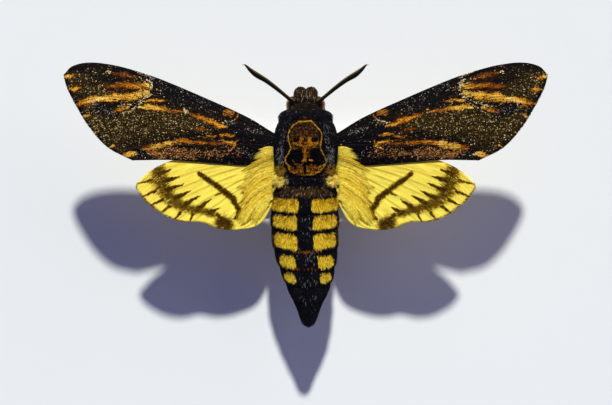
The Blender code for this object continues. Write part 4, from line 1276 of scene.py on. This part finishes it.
def make_fringes(materials, random):
    """Short scales along the outer edge of each wing."""
    count = FRINGE_SCALES
    per = points_per_strand(3)
    for kind, (outline, _, root_z, camber, _) in WINGS.items():
        at = wing_patch(*outline)
        v = random.uniform(0.0, 1.0, count)
        edge, inner = at(np.ones(count), v), at(np.full(count, 0.985), v)
        out = unit(edge - inner)
        flat = inner * 0.4 + edge * 0.6
        root = np.column_stack([flat, wing_middle(np.ones(count), v, flat, root_z, camber)])
        reach = np.column_stack([out, np.full(count, 0.12)])
        up = np.tile([0.0, 0.0, 1.0], (count, 1))
        length = random.uniform(0.35, 0.62, (count, 1))
        paths = np.stack([root + reach * length * s for s in (0.0, 0.5, 1.0)], 1)
        points, faces, _, patch = strands(paths, random.uniform(0.08, 0.16, count), up)
        none = np.zeros(len(points))
        both = {"u": none + 1.0, "v": np.repeat(v, per), "vein": none, "under": none}
        bake = np.stack([none + 0.5, np.repeat(0.01 + 0.98 * v, per)], -1) + patch
        for side, word in SIDES:
            name = f"{kind}_fringe_{word}"
            wing_piece(name, kind, side, points, faces, both, bake, 21, materials)


# Body.

def body_profile(y):
    """Half width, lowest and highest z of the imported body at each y."""
    table = np.array(BODY_SECTIONS)[::-1]
    knots, values = table[:, 0], table[:, 1:]
    y = np.clip(y, knots[0], knots[-1])
    return curve(knots, values, np.gradient(values, knots, axis=0), y).T


def body_sway(y):
    """How far the body's middle line lies to the moth's right."""
    return SWAY_START * ease(-y, 0.0, 4.0) + (SWAY_TAIL - SWAY_START) * ease(-y, *SWAY_ENDS)


def upward(angle):
    """The angle above the horizontal of a place on either side of the body."""
    return np.where(np.abs(angle) <= np.pi / 2, angle, np.copysign(np.pi, angle) - angle)


def pile_rows(y, side):
    """Rows in which the pile lies across the thorax, from -1 between them to 1 on them."""
    return np.sin(2 * np.pi * (y / 0.9 + 0.35 * np.sin(side * 2.2)))


def body_relief(y, angle):
    """Height of flaps, collar, rings and pile rows over the plain body."""
    side = upward(angle)
    front, rear = TEGULA_ENDS
    along = ease(-y, -front, 2.2 - front) * ease(y, rear, rear + 0.9)
    flap = TEGULA_SWELL * hump(side, TEGULA_MIDDLE + 0.10 * (y - 11) / 6, TEGULA_SPREAD)
    relief = along * (flap - GROOVE_DEPTH * hump(side, GROOVE_AT + 0.12 * (y - 11) / 6, GROOVE_WIDTH))
    top = ease(side, 0.35, 0.9)
    relief += (0.25 * hump(y, 18.0, 0.8) - 0.25 * hump(y, 16.6, 0.45)) * top
    relief -= 0.45 * hump(y, NECK_Y + 0.25, 0.35)
    relief -= 0.5 * hump(y, 2.45, 0.5) * top
    relief += 0.09 * pile_rows(y, side) * ease(y, 1.0, 3.0) * (1 - ease(y, 22.0, 23.5)) * top
    edges = (WAIST_Y, *SEGMENT_EDGES, -36.0)
    bent = y - SEGMENT_BEND * (1 - np.abs(np.sin(side))) * ease(-y, 0.5, 4.0)
    for high, low in zip(edges, edges[1:]):
        share = (high - bent) / (high - low)
        ring = ease(share, 0.0, 0.8) - ease(share, 0.93, 1.0)
        relief += SEGMENT_STEP * (ring - 0.5) * ((share >= 0) & (share < 1)) * (low > -36.0)
    return relief


def body_grid():
    """The skin as rings of points, from the face to the tail tip."""
    front, rear = BODY_SECTIONS[0][0] + 0.1, BODY_SECTIONS[-1][0] - 0.1
    rows = int((front - rear) / (BODY_RING * 1.0))
    y = np.linspace(front, rear, rows)
    half, low, high = body_profile(y)
    close = np.sqrt(np.clip(np.minimum((front - y) / 0.9, (y - rear) / 0.7), 0.0, 1.0))
    angle = np.linspace(-np.pi, np.pi, BODY_SIDES, endpoint=False)
    y_all, angle_all = np.meshgrid(y, angle, indexing="ij")
    depth = COAT_DEPTH * (1 - 0.6 * ease(-y_all, 31.0, 35.0))
    grow = (body_relief(y_all, angle_all) - depth) * close[:, None]
    c, s = np.cos(angle_all), np.sin(angle_all)
    wide = np.maximum((half * close)[:, None] + grow, 0.05)
    tall = np.maximum(((high - low) / 2 * close)[:, None] + grow, 0.05)
    x = np.copysign(np.abs(c) ** BODY_POWER, c) * wide + body_sway(y)[:, None]
    z = np.copysign(np.abs(s) ** BODY_POWER, s) * tall + ((low + high) / 2)[:, None]
    return np.stack([x, y_all, z], -1), angle_all


def pick(colour, name, chosen):
    """The colour, changed to the named one where chosen is true."""
    return np.where(np.asarray(chosen)[:, None], COLOURS[name], colour)


def paint_skull(x, y, chance, colour):
    """The skull on the thorax: speckled face, black eyes and cheeks, a thin orange outline."""
    face = stroke(x, y, SKULL_FACE, (13.5, 15.0), 0.08) > 0.5
    jaw = stroke(x, y, SKULL_JAW, 9.5, 0.08) > 0.5
    chin = stroke(x, y, SKULL_CHIN, 5.0, 0.1) > 0.5
    low = ease(y, 124, 146)
    colour = pick(colour, "umber", face & (chance > 0.62))
    colour = pick(colour, "brown", face & (chance < 0.26))
    colour = pick(colour, "rust", face & (chance < 0.05 + 0.16 * low))
    colour = pick(colour, "orange", face & (chance < 0.03 + 0.08 * low))
    colour = pick(colour, "black", jaw & ~face)
    nose = stroke(x, y, SKULL_NOSE, (1.1, 1.4, 1.8), 0.5)
    mark = np.maximum(strongest(x, y, SKULL_BROWS, 0.5), nose)
    colour = pick(colour, "orange", mark > 0.3 + 1.1 * chance)
    colour = pick(colour, "rust", (mark > 0.3) & (chance > 0.62) & (chance < 0.85))
    colour = pick(colour, "rust", chin & (chance < 0.46))
    colour = pick(colour, "orange", chin & (chance < 0.25))
    colour = pick(colour, "gold", chin & (chance < 0.07))
    for line in SKULL_TEETH:
        colour = pick(colour, "orange", stroke(x, y, line, 1.0, 0.3) > 0.3 + 0.6 * chance)
    for line in SKULL_CHEEKS:
        colour = pick(colour, "black", (stroke(x, y, line, 5.6, 0.15) > 0.5) & (nose < 0.4))
    for line in SKULL_CRACKS:
        colour = pick(colour, "black", stroke(x, y, line, 1.35, 0.3) > 0.5)
    for line in SKULL_EYES:
        colour = pick(colour, "black", stroke(x, y, line, 1.9, 0.2) > 0.5)
    outline = strongest(x, y, [(line, 0.5, 1.0) for line in SKULL_OUTLINE], 0.35)
    drawn = outline > 0.40 + 0.62 * chance
    colour = pick(colour, "orange", drawn)
    return pick(colour, "gold", drawn & (chance < 0.62) & (y < 166))


def paint_bands(away, y, chance, shade, colour):
    """Yellow bands of the abdomen, with black between and down the middle."""
    ragged = 1.9 * (chance - 0.5)
    for first, last, inner, outer, first_rise, last_rise in BANDS:
        after = y + first_rise * (away - inner) - first - ragged
        before = last + ragged - y - last_rise * (away - inner)
        depth = np.minimum(after, before)
        corner = np.minimum(away - inner, outer - away)
        rounded = np.minimum(corner, 3.2) + np.minimum(depth, 3.2) > 2.6 + ragged
        inside = (depth > 0) & (corner > 0) & rounded
        # Each band is painted darker towards its front edge and lighter towards its rear edge: painted shade
        # where a ring starts behind the one before. Rings further back are painted a little lighter.
        light = shade + 0.4 * (after / (last - first) - 0.55) + 0.004 * (y - 206)
        colour = pick(colour, "gold", inside)
        colour = pick(colour, "lemon", inside & (light > 0.56))
        colour = pick(colour, "ochre", inside & (light < 0.32))
    for place in RUST_ROWS:
        fringe = (np.abs(y - place) < 0.8) & (away < 16) & (chance < 0.45)
        colour = pick(colour, "rust", fringe)
    return colour


def paint_body(points, normals, random):
    """The colour of the body's hair at each of these places."""
    count = len(points)
    x, y = photo_place(points)
    x = x + (noise(points, 0.8, 3) - 0.5) * 0.5 + random.normal(0, 0.15, count)
    y = y + (noise(points, 0.8, 4) - 0.5) * 0.5 + random.normal(0, 0.15, count)
    sway = body_sway(points[:, 1]) / (PIXEL_ANGLE * (CAMERA_HEIGHT - points[:, 2]))
    away = np.abs(x - BODY_LINE - sway)
    chance, shade = random.random((2, count))
    shade = 0.6 * shade + 0.4 * noise(points, 0.6, 8)
    colour = blend(np.tile(COLOURS["black"], (count, 1)), COLOURS["blue black"], noise(points, 1.4, 12))
    colour = paint_head(points, chance, colour)
    thorax = (points[:, 1] <= NECK_Y) & (points[:, 1] > WAIST_Y)
    # Umber specks gather along rows across the thorax: partly the pile's own brown, partly painted light on
    # the ridges of its rows.
    row = pile_rows(points[:, 1], 0.5) * 0.5 + 0.5
    colour = pick(colour, "umber", thorax & (chance < 0.02 + 0.14 * row))
    colour = pick(colour, "grey", thorax & (chance < 0.018))
    colour = pick(colour, "grey", chance < strongest(x, y, THORAX_FROST, 0.5))
    above = points[:, 2] > 18
    first_ring = (y > FIRST_RING[0]) & (y < FIRST_RING[1]) & above
    colour = pick(colour, "brown", first_ring & (chance < 0.42))
    colour = pick(colour, "pale", first_ring & (chance < 0.035))
    waist = (y > WAIST_ROWS[0]) & (y < WAIST_ROWS[1]) & (away > 17) & above
    colour = pick(colour, "brown", waist & (chance < 0.5))
    colour = pick(colour, "pale", waist & (chance < 0.18))
    frost = sum(strength * hump(y, place, width) for place, width, strength in BACK_FROST)
    colour = pick(colour, "grey", (away < 9) & (chance < 0.10 * frost))
    colour = paint_skull(x, y, chance, colour)
    colour = paint_bands(away, y, chance, shade, colour)
    flank = ease(away, 27, 33) * ease(y, 214, 226) * (1 - ease(y, 292, 312))
    colour = pick(colour, "ochre", (shade < 0.34 * flank) & (chance > 0.4))
    below = ease(-normals[:, 2], 0.25, 0.6)
    return pick(colour, "belly", chance < below * 0.85)


def paint_head(points, chance, colour):
    """Dark brown pile on the head, with pale specks that grow denser to the front."""
    head = points[:, 1] > NECK_Y
    front = ease(points[:, 1], 20.6, 23.2)
    colour = pick(colour, "umber", head & (chance < 0.50))
    colour = pick(colour, "brown", head & (chance < 0.10 + 0.16 * front))
    return pick(colour, "pale", head & (chance < 0.02 + 0.07 * front))


def make_body(materials, random):
    grid, angle = body_grid()
    normals = frames_of(grid)[2]
    points, faces = closed_tube(grid)
    flat_normals = np.concatenate([normals.reshape(-1, 3), [[0.0, 1.0, 0.0]], [[0.0, -1.0, 0.0]]])
    # The skin under the coat is painted at 0.7 of the coat's colours: painted shade at the bottom of the
    # pile.
    paint = paint_body(points, flat_normals, random) * 0.7
    skin = new_piece(
        "body_skin", points, faces, materials["skin"], "thorax_pile", bake=ring_bake(grid, 0.996),
        Paint=with_alpha(paint),
    )
    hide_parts("head", "thorax", "abdomen")
    make_body_coat(grid, angle, materials, random)


def body_lie(points, along, normals):
    """Which way the body's hair lies: backwards, forwards on the face, a little outwards on the sides."""
    outward = np.cross(along, normals)
    outward = outward * np.sign(outward[:, :1] * points[:, :1])
    fan = (0.30 * ease(np.abs(points[:, 0]), 1.5, 7.0))[:, None]
    face = ease(points[:, 1], 20.6, 21.8)[:, None]
    lie = along * (1 - 2 * face) + outward * fan
    return unit(lie)


def skull_zone(points):
    """1 where the skull lies, seen from above, falling to 0 around it."""
    x, y = photo_place(points)
    return stroke(x, y, ((305, 136), (305, 160)), 24.0, 0.15) * (points[:, 2] > 20)


def make_body_coat(grid, angle, materials, random):
    y = grid[..., 1]
    fine = skull_zone(grid.reshape(-1, 3)).reshape(y.shape)
    above = (0.45 + 0.55 * ease(np.sin(angle), -0.6, 0.1)) * (1 + 1.3 * fine)
    thorax = (y <= NECK_Y + 0.3) & (y > WAIST_Y - 0.2)
    right = np.cos(angle) >= 0
    parts = (
        ("coat_head", HEAD_COAT, "head_pile", y > NECK_Y),
        ("coat_thorax_right", THORAX_COAT, "thorax_pile", thorax & right),
        ("coat_thorax_left", THORAX_COAT, "thorax_pile", thorax & ~right),
        ("coat_abdomen_right", ABDOMEN_COAT, "abdomen_pile", (y <= WAIST_Y) & right),
        ("coat_abdomen_left", ABDOMEN_COAT, "abdomen_pile", (y <= WAIST_Y) & ~right),
    )
    for name, size, slot, region in parts:
        roots, along, _, normals, place = scatter(grid, size["dense"], region * above, random)
        lie = body_lie(roots, along, normals)
        trim = (1 - 0.64 * skull_zone(roots)) * (1 + 0.7 * ease(roots[:, 1], 22.0, 23.4))
        coat = materials["coat"]
        lay_coat(name, roots, normals, lie, size, trim, paint_body, place, coat, slot, random)


# Long hair.

def hair_paths(roots, tips, top, rise, random):
    """Lines that leave the body outwards, bend to their tips in waves and come down to lie on the wing."""
    count = len(roots)
    share = np.linspace(0, 1, HAIR_NODES)[None, :, None]
    reach = np.linalg.norm(tips - roots, axis=1, keepdims=True)
    out = np.tile([1.0, 0.05], (count, 1))
    first = roots + out * reach * 0.34
    second = tips + (roots - tips) * 0.25 + out * reach * 0.08
    a, b, c, d = (p[:, None, :] for p in (roots, first, second, tips))
    near = a * (1 - share) ** 3 + 3 * b * share * (1 - share) ** 2
    far = 3 * c * share ** 2 * (1 - share) + d * share ** 3
    across = unit((tips - roots)[:, ::-1] * (1.0, -1.0))[:, None, :]
    phase = random.uniform(0, 6.28, (count, 1, 1))
    wave = 0.22 * np.sin(2 * np.pi * share * 1.3 + phase) * np.sin(np.pi * share)
    flat = near + far + across * wave
    share = share[..., 0]
    bow = 0.10 * np.sin(np.pi * share) * random.uniform(0.3, 1.5, (count, 1))
    height = top(flat[..., 0], flat[..., 1]) + rise[:, None] * (1 - share) ** 2 + bow - 0.05 * share
    return np.concatenate([flat, height[..., None]], -1)


def hair_rows(rows, top, random):
    """Paths, places in the row and lock shades of long hair over a right wing."""
    found = []
    for index, (count, root_from, root_to, tip_from, tip_to, rise) in enumerate(rows):
        count = count
        lock = random.integers(0, LOCKS, count)
        middle = (lock + 0.5) / LOCKS + random.normal(0, 0.012, LOCKS)[lock]
        s_root = np.clip(middle + random.normal(0, 0.05, count), 0, 1)
        s_tip = np.clip(middle + random.normal(0, 0.022, count), 0, 1)
        reach = random.uniform(0.60, 1.06, LOCKS)[lock] * random.uniform(0.45, 1.06, count)
        root = np.outer(1 - s_root, root_from) + np.outer(s_root, root_to)
        tip = np.outer(1 - s_tip, tip_from) + np.outer(s_tip, tip_to)
        tip = root + (tip - root) * reach[:, None]
        found.append((
            hair_paths(root, tip, top, rise * random.uniform(0.75, 1.0, count), random),
            np.column_stack([s_root, (index + random.random(count)) / len(rows)]),
            random.random(LOCKS)[lock] * 0.6 + random.random(count) * 0.4,
        ))
    return [np.concatenate(part) for part in zip(*found)]


def hair_colours(shade):
    """Pale yellow to golden brown."""
    yellow = np.tile((1.0, 0.82, 0.09), (len(shade), 1))
    colours = blend(yellow, (1.0, 0.66, 0.03), ease(shade, 0.35, 0.70))
    colours = blend(colours, (0.50, 0.235, 0.006), ease(shade, 0.66, 0.90))
    return blend(colours, (1.0, 0.88, 0.17), ease(-shade, -0.32, 0.0))


def make_long_hair(materials, top, random):
    per = points_per_strand(HAIR_NODES)
    for name, table, fade in (("forewing_hair", FOREWING_HAIR, 0.75), ("hindwing_hair", HINDWING_HAIR, 0.0)):
        paths, place, shade = hair_rows(table, top, random)
        count = len(paths)
        up = np.tile([0.0, 0.0, 1.0], (count, 1))
        width = HAIR_WIDTH * random.uniform(0.6, 1.3, count)
        for side, word in SIDES:
            points, faces, along, patch = strands(paths * (side, 1.0, 1.0), width, up)
            # Strands are painted a little darker at the root and lighter at the tip: painted shade where they
            # crowd near the body.
            colours = np.repeat(hair_colours(shade), per, axis=0) * (0.88 + 0.20 * along)[:, None]
            colours = blend(colours, (0.05, 0.028, 0.008), fade * ease(along, 0.55, 1.0))
            bake = np.repeat(0.01 + 0.98 * place, per, axis=0) + patch
            new_piece(
                f"{name}_{word}", points, faces, materials["hair"], "hindwing_scales", bake=bake,
                Paint=with_alpha(colours),
            )


def make_waist_tufts(materials, random):
    """Bushy tufts at the waist: strands that rise from a foot on the body and spread like a brush."""
    share = np.linspace(0.0, 1.0, WAIST_TUFT_NODES)[:, None]
    per = points_per_strand(WAIST_TUFT_NODES)
    for number, (foot, middle, count, lean, low, high) in enumerate(WAIST_TUFTS, start=1):
        count = count
        for side, word in SIDES:
            turn = np.array([side, 1.0, 1.0])
            spread = unit(random.normal(0, 1, (count, 3)) * (1.0, 1.0, 0.5) + np.array(lean) * turn)
            spread[:, 2] = 0.45 * np.abs(spread[:, 2]) + 0.05
            root = np.array(foot) * turn + spread * 0.5 * random.random((count, 1))
            bend = np.array(middle) * turn + spread * random.uniform(0.1, 0.6, (count, 1))
            length = WAIST_TUFT_LENGTH * random.uniform(0.5, 1.1, (count, 1))
            tip = bend + spread * length - (0.0, 0.0, 0.25)
            a, b, c = (p[:, None] for p in (root, bend, tip))
            paths = a * (1 - share) ** 2 + 2 * b * share * (1 - share) + c * share ** 2
            up = unit(np.cross(spread, (0.3, 1.0, 0.2)))
            points, faces, along, patch = strands(paths, random.uniform(0.12, 0.2, count), up)
            shade = np.repeat(random.uniform(0.6, 1.4, count), per)[:, None]
            tint = blend(np.tile(low, (len(along), 1)), high, ease(along, 0.0, 0.9)) * shade
            turned = np.arctan2(spread[:, 1], spread[:, 0]) / 6.4 + 0.5
            place = np.column_stack([turned, spread[:, 2] / 1.2])
            bake = np.repeat(0.01 + 0.98 * place, per, axis=0) + patch
            new_piece(
                f"waist_tuft_{number}_{word}", points, faces, materials["hair"], "thorax_pile", bake=bake,
                Paint=with_alpha(tint),
            )


# Small parts.

def tube_grid(path, radii, rings, sides):
    """Rings of points along a smooth line, with the radius at each given point of it, and their shares."""
    path, radii = np.array(path), np.array(radii)
    shares = np.linspace(0, 1, rings)
    middle = smooth_line(path)(shares)
    knots = run_along(path)
    knots = knots / knots[-1]
    radius = np.maximum(curve(knots, radii, np.gradient(radii, knots), shares), THINNEST)
    forward = unit(np.gradient(middle, axis=0))
    side = unit(np.cross(forward[0], (0.21, 0.3, 0.93)))
    across, over = [], []
    for direction in forward:
        side = side - direction * side.dot(direction)
        side /= np.linalg.norm(side)
        across.append(side)
        over.append(np.cross(direction, side))
    turn = np.linspace(0, 2 * np.pi, sides, endpoint=False)
    across, over = np.array(across)[:, None], np.array(over)[:, None]
    rim = across * np.cos(turn)[None, :, None] + over * np.sin(turn)[None, :, None]
    return middle[:, None] + rim * radius[:, None, None], shares


def round_ends(grid, length):
    """Draws the rings near both ends in, so that the tube ends round; also gives how far along they are."""
    middle = grid.mean(axis=1, keepdims=True)
    run = run_along(middle[:, 0])
    near = np.minimum(run, run[-1] - run) / length
    draw = np.sqrt(np.clip(1 - (1 - np.clip(near, 0, 1)) ** 2, 0.0, 1.0))
    return swollen(grid, np.maximum(draw, 0.05)), run


def swollen(grid, factor):
    """The tube with each ring this many times as wide."""
    middle = grid.mean(axis=1, keepdims=True)
    return middle + (grid - middle) * factor[:, None, None]


def ring_bake(grid, reach=0.99):
    """The bake map of a closed tube: round it one way and along it the other."""
    rows, columns = grid.shape[:2]
    side = np.append(np.tile(np.arange(columns) / columns, rows), [0.5, 0.5])
    row = np.append(np.repeat(np.linspace(0, 1, rows), columns), [0.0, 1.0])
    return 0.002 + reach * np.stack([side, row], -1)


def make_eyes(materials):
    turn = np.linspace(0, 2 * np.pi, 64, endpoint=False)
    tilt = np.linspace(0.03, np.pi - 0.03, 44)[:, None]
    ring = np.stack(np.broadcast_arrays(
        np.sin(tilt) * np.cos(turn), np.sin(tilt) * np.sin(turn), np.cos(tilt)
    ), -1)
    for side, word in SIDES:
        grid = ring * EYE_RADII + np.array(EYE_MIDDLE) * (side, 1, 1)
        points, faces = closed_tube(grid)
        rim = ease(side * points[:, 0], 3.8, 4.6) * hump(points[:, 2], EYE_MIDDLE[2] + 1.0, 0.8)
        lie = np.column_stack([rim, np.zeros((len(points), 2))])
        name = f"eye_lens_{word}"
        piece = new_piece(
            name, points, faces, materials["eye"], "eye_lens", bake=ring_bake(grid), Lie=lie
        )
        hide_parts(f"eye_{word}")


def paint_palp(points, _normals, random):
    chance = random.random(len(points))
    colour = np.tile(COLOURS["umber"], (len(points), 1))
    colour = pick(colour, "brown", chance < 0.45)
    colour = pick(colour, "pale", chance < 0.06)
    return pick(colour, "belly", (points[:, 2] < 16.5) & (chance < 0.5))


def make_palps(materials, random):
    for side, word in SIDES:
        path = np.array(PALP_PATH) * (side, 1, 1)
        grid, _ = round_ends(tube_grid(path, PALP_RADII, 60, 36)[0], 0.8)
        points, faces = closed_tube(grid)
        # The palp's skin is painted at half the coat's colours: painted shade under its pile.
        paint = paint_palp(points, None, random) * 0.5
        piece = new_piece(
            f"palp_skin_{word}", points, faces, materials["skin"], "head_pile", bake=ring_bake(grid),
            Paint=with_alpha(paint),
        )
        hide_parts(f"palp_{word}")
        whole = np.ones(grid.shape[:2])
        roots, along, _, normals, place = scatter(grid, PALP_COAT["dense"], whole, random)
        lay_coat(
            f"palp_coat_{word}", roots, normals, along, PALP_COAT, 1.0, paint_palp, place,
            materials["coat"], "head_pile", random,
        )


def make_feelers(materials):
    rings, sides = ((420, 24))
    for side, word in SIDES:
        path = np.array(ANTENNA_PATH) * (side, 1, 1)
        grid, shares = tube_grid(path, ANTENNA_RADII, rings, sides)
        grid, run = round_ends(grid, 0.3)
        grid = swollen(grid, 1 + 0.05 * np.cos(2 * np.pi * run / ANTENNA_RING))
        points, faces = closed_tube(grid)
        # The side of the feeler that faces forward, towards the lamp, is marked for a painted highlight.
        front = ease(frames_of(grid)[2][..., 1], 0.1, 0.8) * 0.6
        tip = ease(shares, 0.93, 0.97)[:, None] * np.ones(sides)
        lie = np.stack([np.broadcast_to(run[:, None], front.shape), front, tip], -1).reshape(-1, 3)
        lie = np.concatenate([lie, [[0, 0, 0]], [[run[-1], 0, 1]]])
        name = f"feeler_{word}"
        piece = new_piece(
            name, points, faces, materials["feeler"], "feeler", bake=ring_bake(grid), Lie=lie
        )
        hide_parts(f"antenna_{word}")


def make_tongue(materials):
    """The tongue, a spiral that narrows towards its inner end."""
    rings, sides = 260, 20
    turns = np.linspace(0, TONGUE_TURNS, 24)
    angle = TONGUE_START - 2 * np.pi * turns
    radius = TONGUE_RADIUS - TONGUE_PITCH * turns
    y, z = TONGUE_MIDDLE[0] + radius * np.cos(angle), TONGUE_MIDDLE[1] + radius * np.sin(angle)
    path = np.column_stack([np.zeros(len(turns)), y, z])
    widths = TONGUE_THICKNESS / 2 * (1 - 0.3 * turns / TONGUE_TURNS)
    grid, run = round_ends(tube_grid(path, widths, rings, sides)[0], 0.3)
    points, faces = closed_tube(grid)
    lie = np.zeros((len(points), 3))
    lie[:-2, 0] = np.repeat(run, sides)
    piece = new_piece(
        "tongue", points, faces, materials["tongue"], "tongue_horn", bake=ring_bake(grid), Lie=lie
    )
    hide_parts("proboscis")


def paint_leg(shares, random):
    """Brown scales, with a pale ring at each joint; shares are the places along the leg."""
    chance = random.random(len(shares))
    colour = np.tile(COLOURS["umber"], (len(shares), 1))
    colour = pick(colour, "brown", chance < 0.5)
    ring = np.max([hump(shares, joint, 0.012) for joint in LEG_JOINTS], axis=0)
    return pick(colour, "pale", (chance < 0.05) | (ring > 0.3 + 0.5 * chance))


def make_legs(materials, random):
    rings, sides = ((200, 22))
    for (side, word), (name, leg) in itertools.product(SIDES, LEGS.items()):
        path = np.array(leg) * (side, 1, 1)
        grid, shares = tube_grid(path, LEG_RADII, rings, sides)
        grid, _ = round_ends(grid, 0.4)
        joint = np.max([hump(shares, place, 0.010) for place in LEG_JOINTS], axis=0)
        grid = swollen(grid, 1 - 0.18 * joint)
        points, faces = closed_tube(grid)
        all_shares = np.append(np.repeat(shares, sides), [0.0, 1.0])
        # The leg's skin is painted at 0.6 of the coat's colours: painted shade under its scales.
        paint = paint_leg(all_shares, random) * 0.6
        piece = new_piece(
            f"{name}_skin_{word}", points, faces, materials["skin"], "leg_scales", bake=ring_bake(grid),
            Paint=with_alpha(paint),
        )
        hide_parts(f"{name}_{word}")
        whole = np.ones(grid.shape[:2])
        roots, along, _, normals, place = scatter(grid, LEG_COAT["dense"], whole, random)
        paint = paint_leg(place[:, 1], random)
        lay_coat(
            f"{name}_coat_{word}", roots, normals, along, LEG_COAT, 1.0, paint, place,
            materials["coat"], "leg_scales", random,
        )


# The scene round the moth.

def repaint(node, material):
    """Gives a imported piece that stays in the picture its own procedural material."""
    for slot in frame["nodes"][node].material_slots:
        slot.material = material


def make_stage(materials):
    mesh = bpy.data.meshes.new("ground")
    reach = GROUND_REACH
    corners = [(-reach, -reach, 0), (reach, -reach, 0), (reach, reach, 0), (-reach, reach, 0)]
    mesh.from_pydata(corners, [], [(0, 1, 2, 3)])
    mesh.materials.append(materials["floor"])
    ground = bpy.data.objects.new("ground", mesh)
    bpy.context.scene.collection.objects.link(ground)


def lamp_from(name, direction, strength, spread, colour):
    """A far lamp whose light comes from this direction, as wide as its spread."""
    sun = bpy.data.lights.new(name, "SUN")
    sun.energy = strength
    sun.angle = spread
    sun.color = colour
    lamp = bpy.data.objects.new(name, sun)
    x, y, z = np.array(direction) / np.linalg.norm(direction)
    lamp.rotation_euler = (math.acos(z), 0.0, math.atan2(y, x) + math.pi / 2)
    bpy.context.scene.collection.objects.link(lamp)


def make_light():
    for lamp in LAMPS:
        lamp_from(*lamp)
    sky = bpy.data.worlds.new("fill")
    sky.use_nodes = True
    background = sky.node_tree.nodes["Background"]
    background.inputs["Color"].default_value = SKY_COLOUR
    background.inputs["Strength"].default_value = SKY_STRENGTH
    bpy.context.scene.world = sky
    bpy.context.scene.view_settings.view_transform = "Standard"


def make_camera():
    view = bpy.data.cameras.new("camera")
    view.sensor_width = 36.0
    view.lens = view.sensor_width / (PHOTO_WIDTH * PIXEL_ANGLE)
    view.clip_start = 0.01
    view.clip_end = 5.0
    camera = bpy.data.objects.new("camera", view)
    x = (PHOTO_MIDDLE[0] - BODY_LINE) * PIXEL_ANGLE * CAMERA_HEIGHT
    camera.location = world((x, CAMERA_Y, CAMERA_HEIGHT))
    bpy.context.scene.collection.objects.link(camera)
    bpy.context.scene.camera = camera


def make_materials(groups):
    return {
        "forewing": forewing_material(groups),
        "hindwing": hindwing_material(groups),
        "skin": painted_material(groups, "skin", 0.2, 0.5, Specular_IOR_Level=0.05),
        "coat": painted_material(groups, "short pile", 0.12, 0.2, Specular_IOR_Level=0.06),
        "hair": painted_material(groups, "long hair", 0.3, 0.1, Specular_IOR_Level=0.06),
        "eye": eye_material(groups),
        "feeler": horn_material(
            groups, "feeler", FEELER_DARK, FEELER_HIGHLIGHT, ANTENNA_RING, Specular_IOR_Level=0.06
        ),
        "tongue": horn_material(
            groups, "tongue", TONGUE_DARK, TONGUE_LIGHT, TONGUE_RING, Coat_Weight=0.3
        ),
        "floor": floor_material(groups),
    }


def main():
    random = np.random.default_rng(RANDOM_SEED)
    groups = make_effects()
    materials = make_materials(groups)
    wings = {kind: wing_surfaces(*shape, len(kind)) for kind, (*shape, _) in WINGS.items()}
    make_wings(materials, wings)
    make_fringes(materials, random)
    make_body(materials, random)
    make_long_hair(materials, wing_top(wings), random)
    make_waist_tufts(materials, random)
    make_eyes(materials)
    make_palps(materials, random)
    make_feelers(materials)
    make_tongue(materials)
    make_legs(materials, random)
    repaint("stand_base", acrylic_material(groups))
    repaint("stand_rod", steel_material(groups))
    make_stage(materials)
    make_light()
    make_camera()


main()
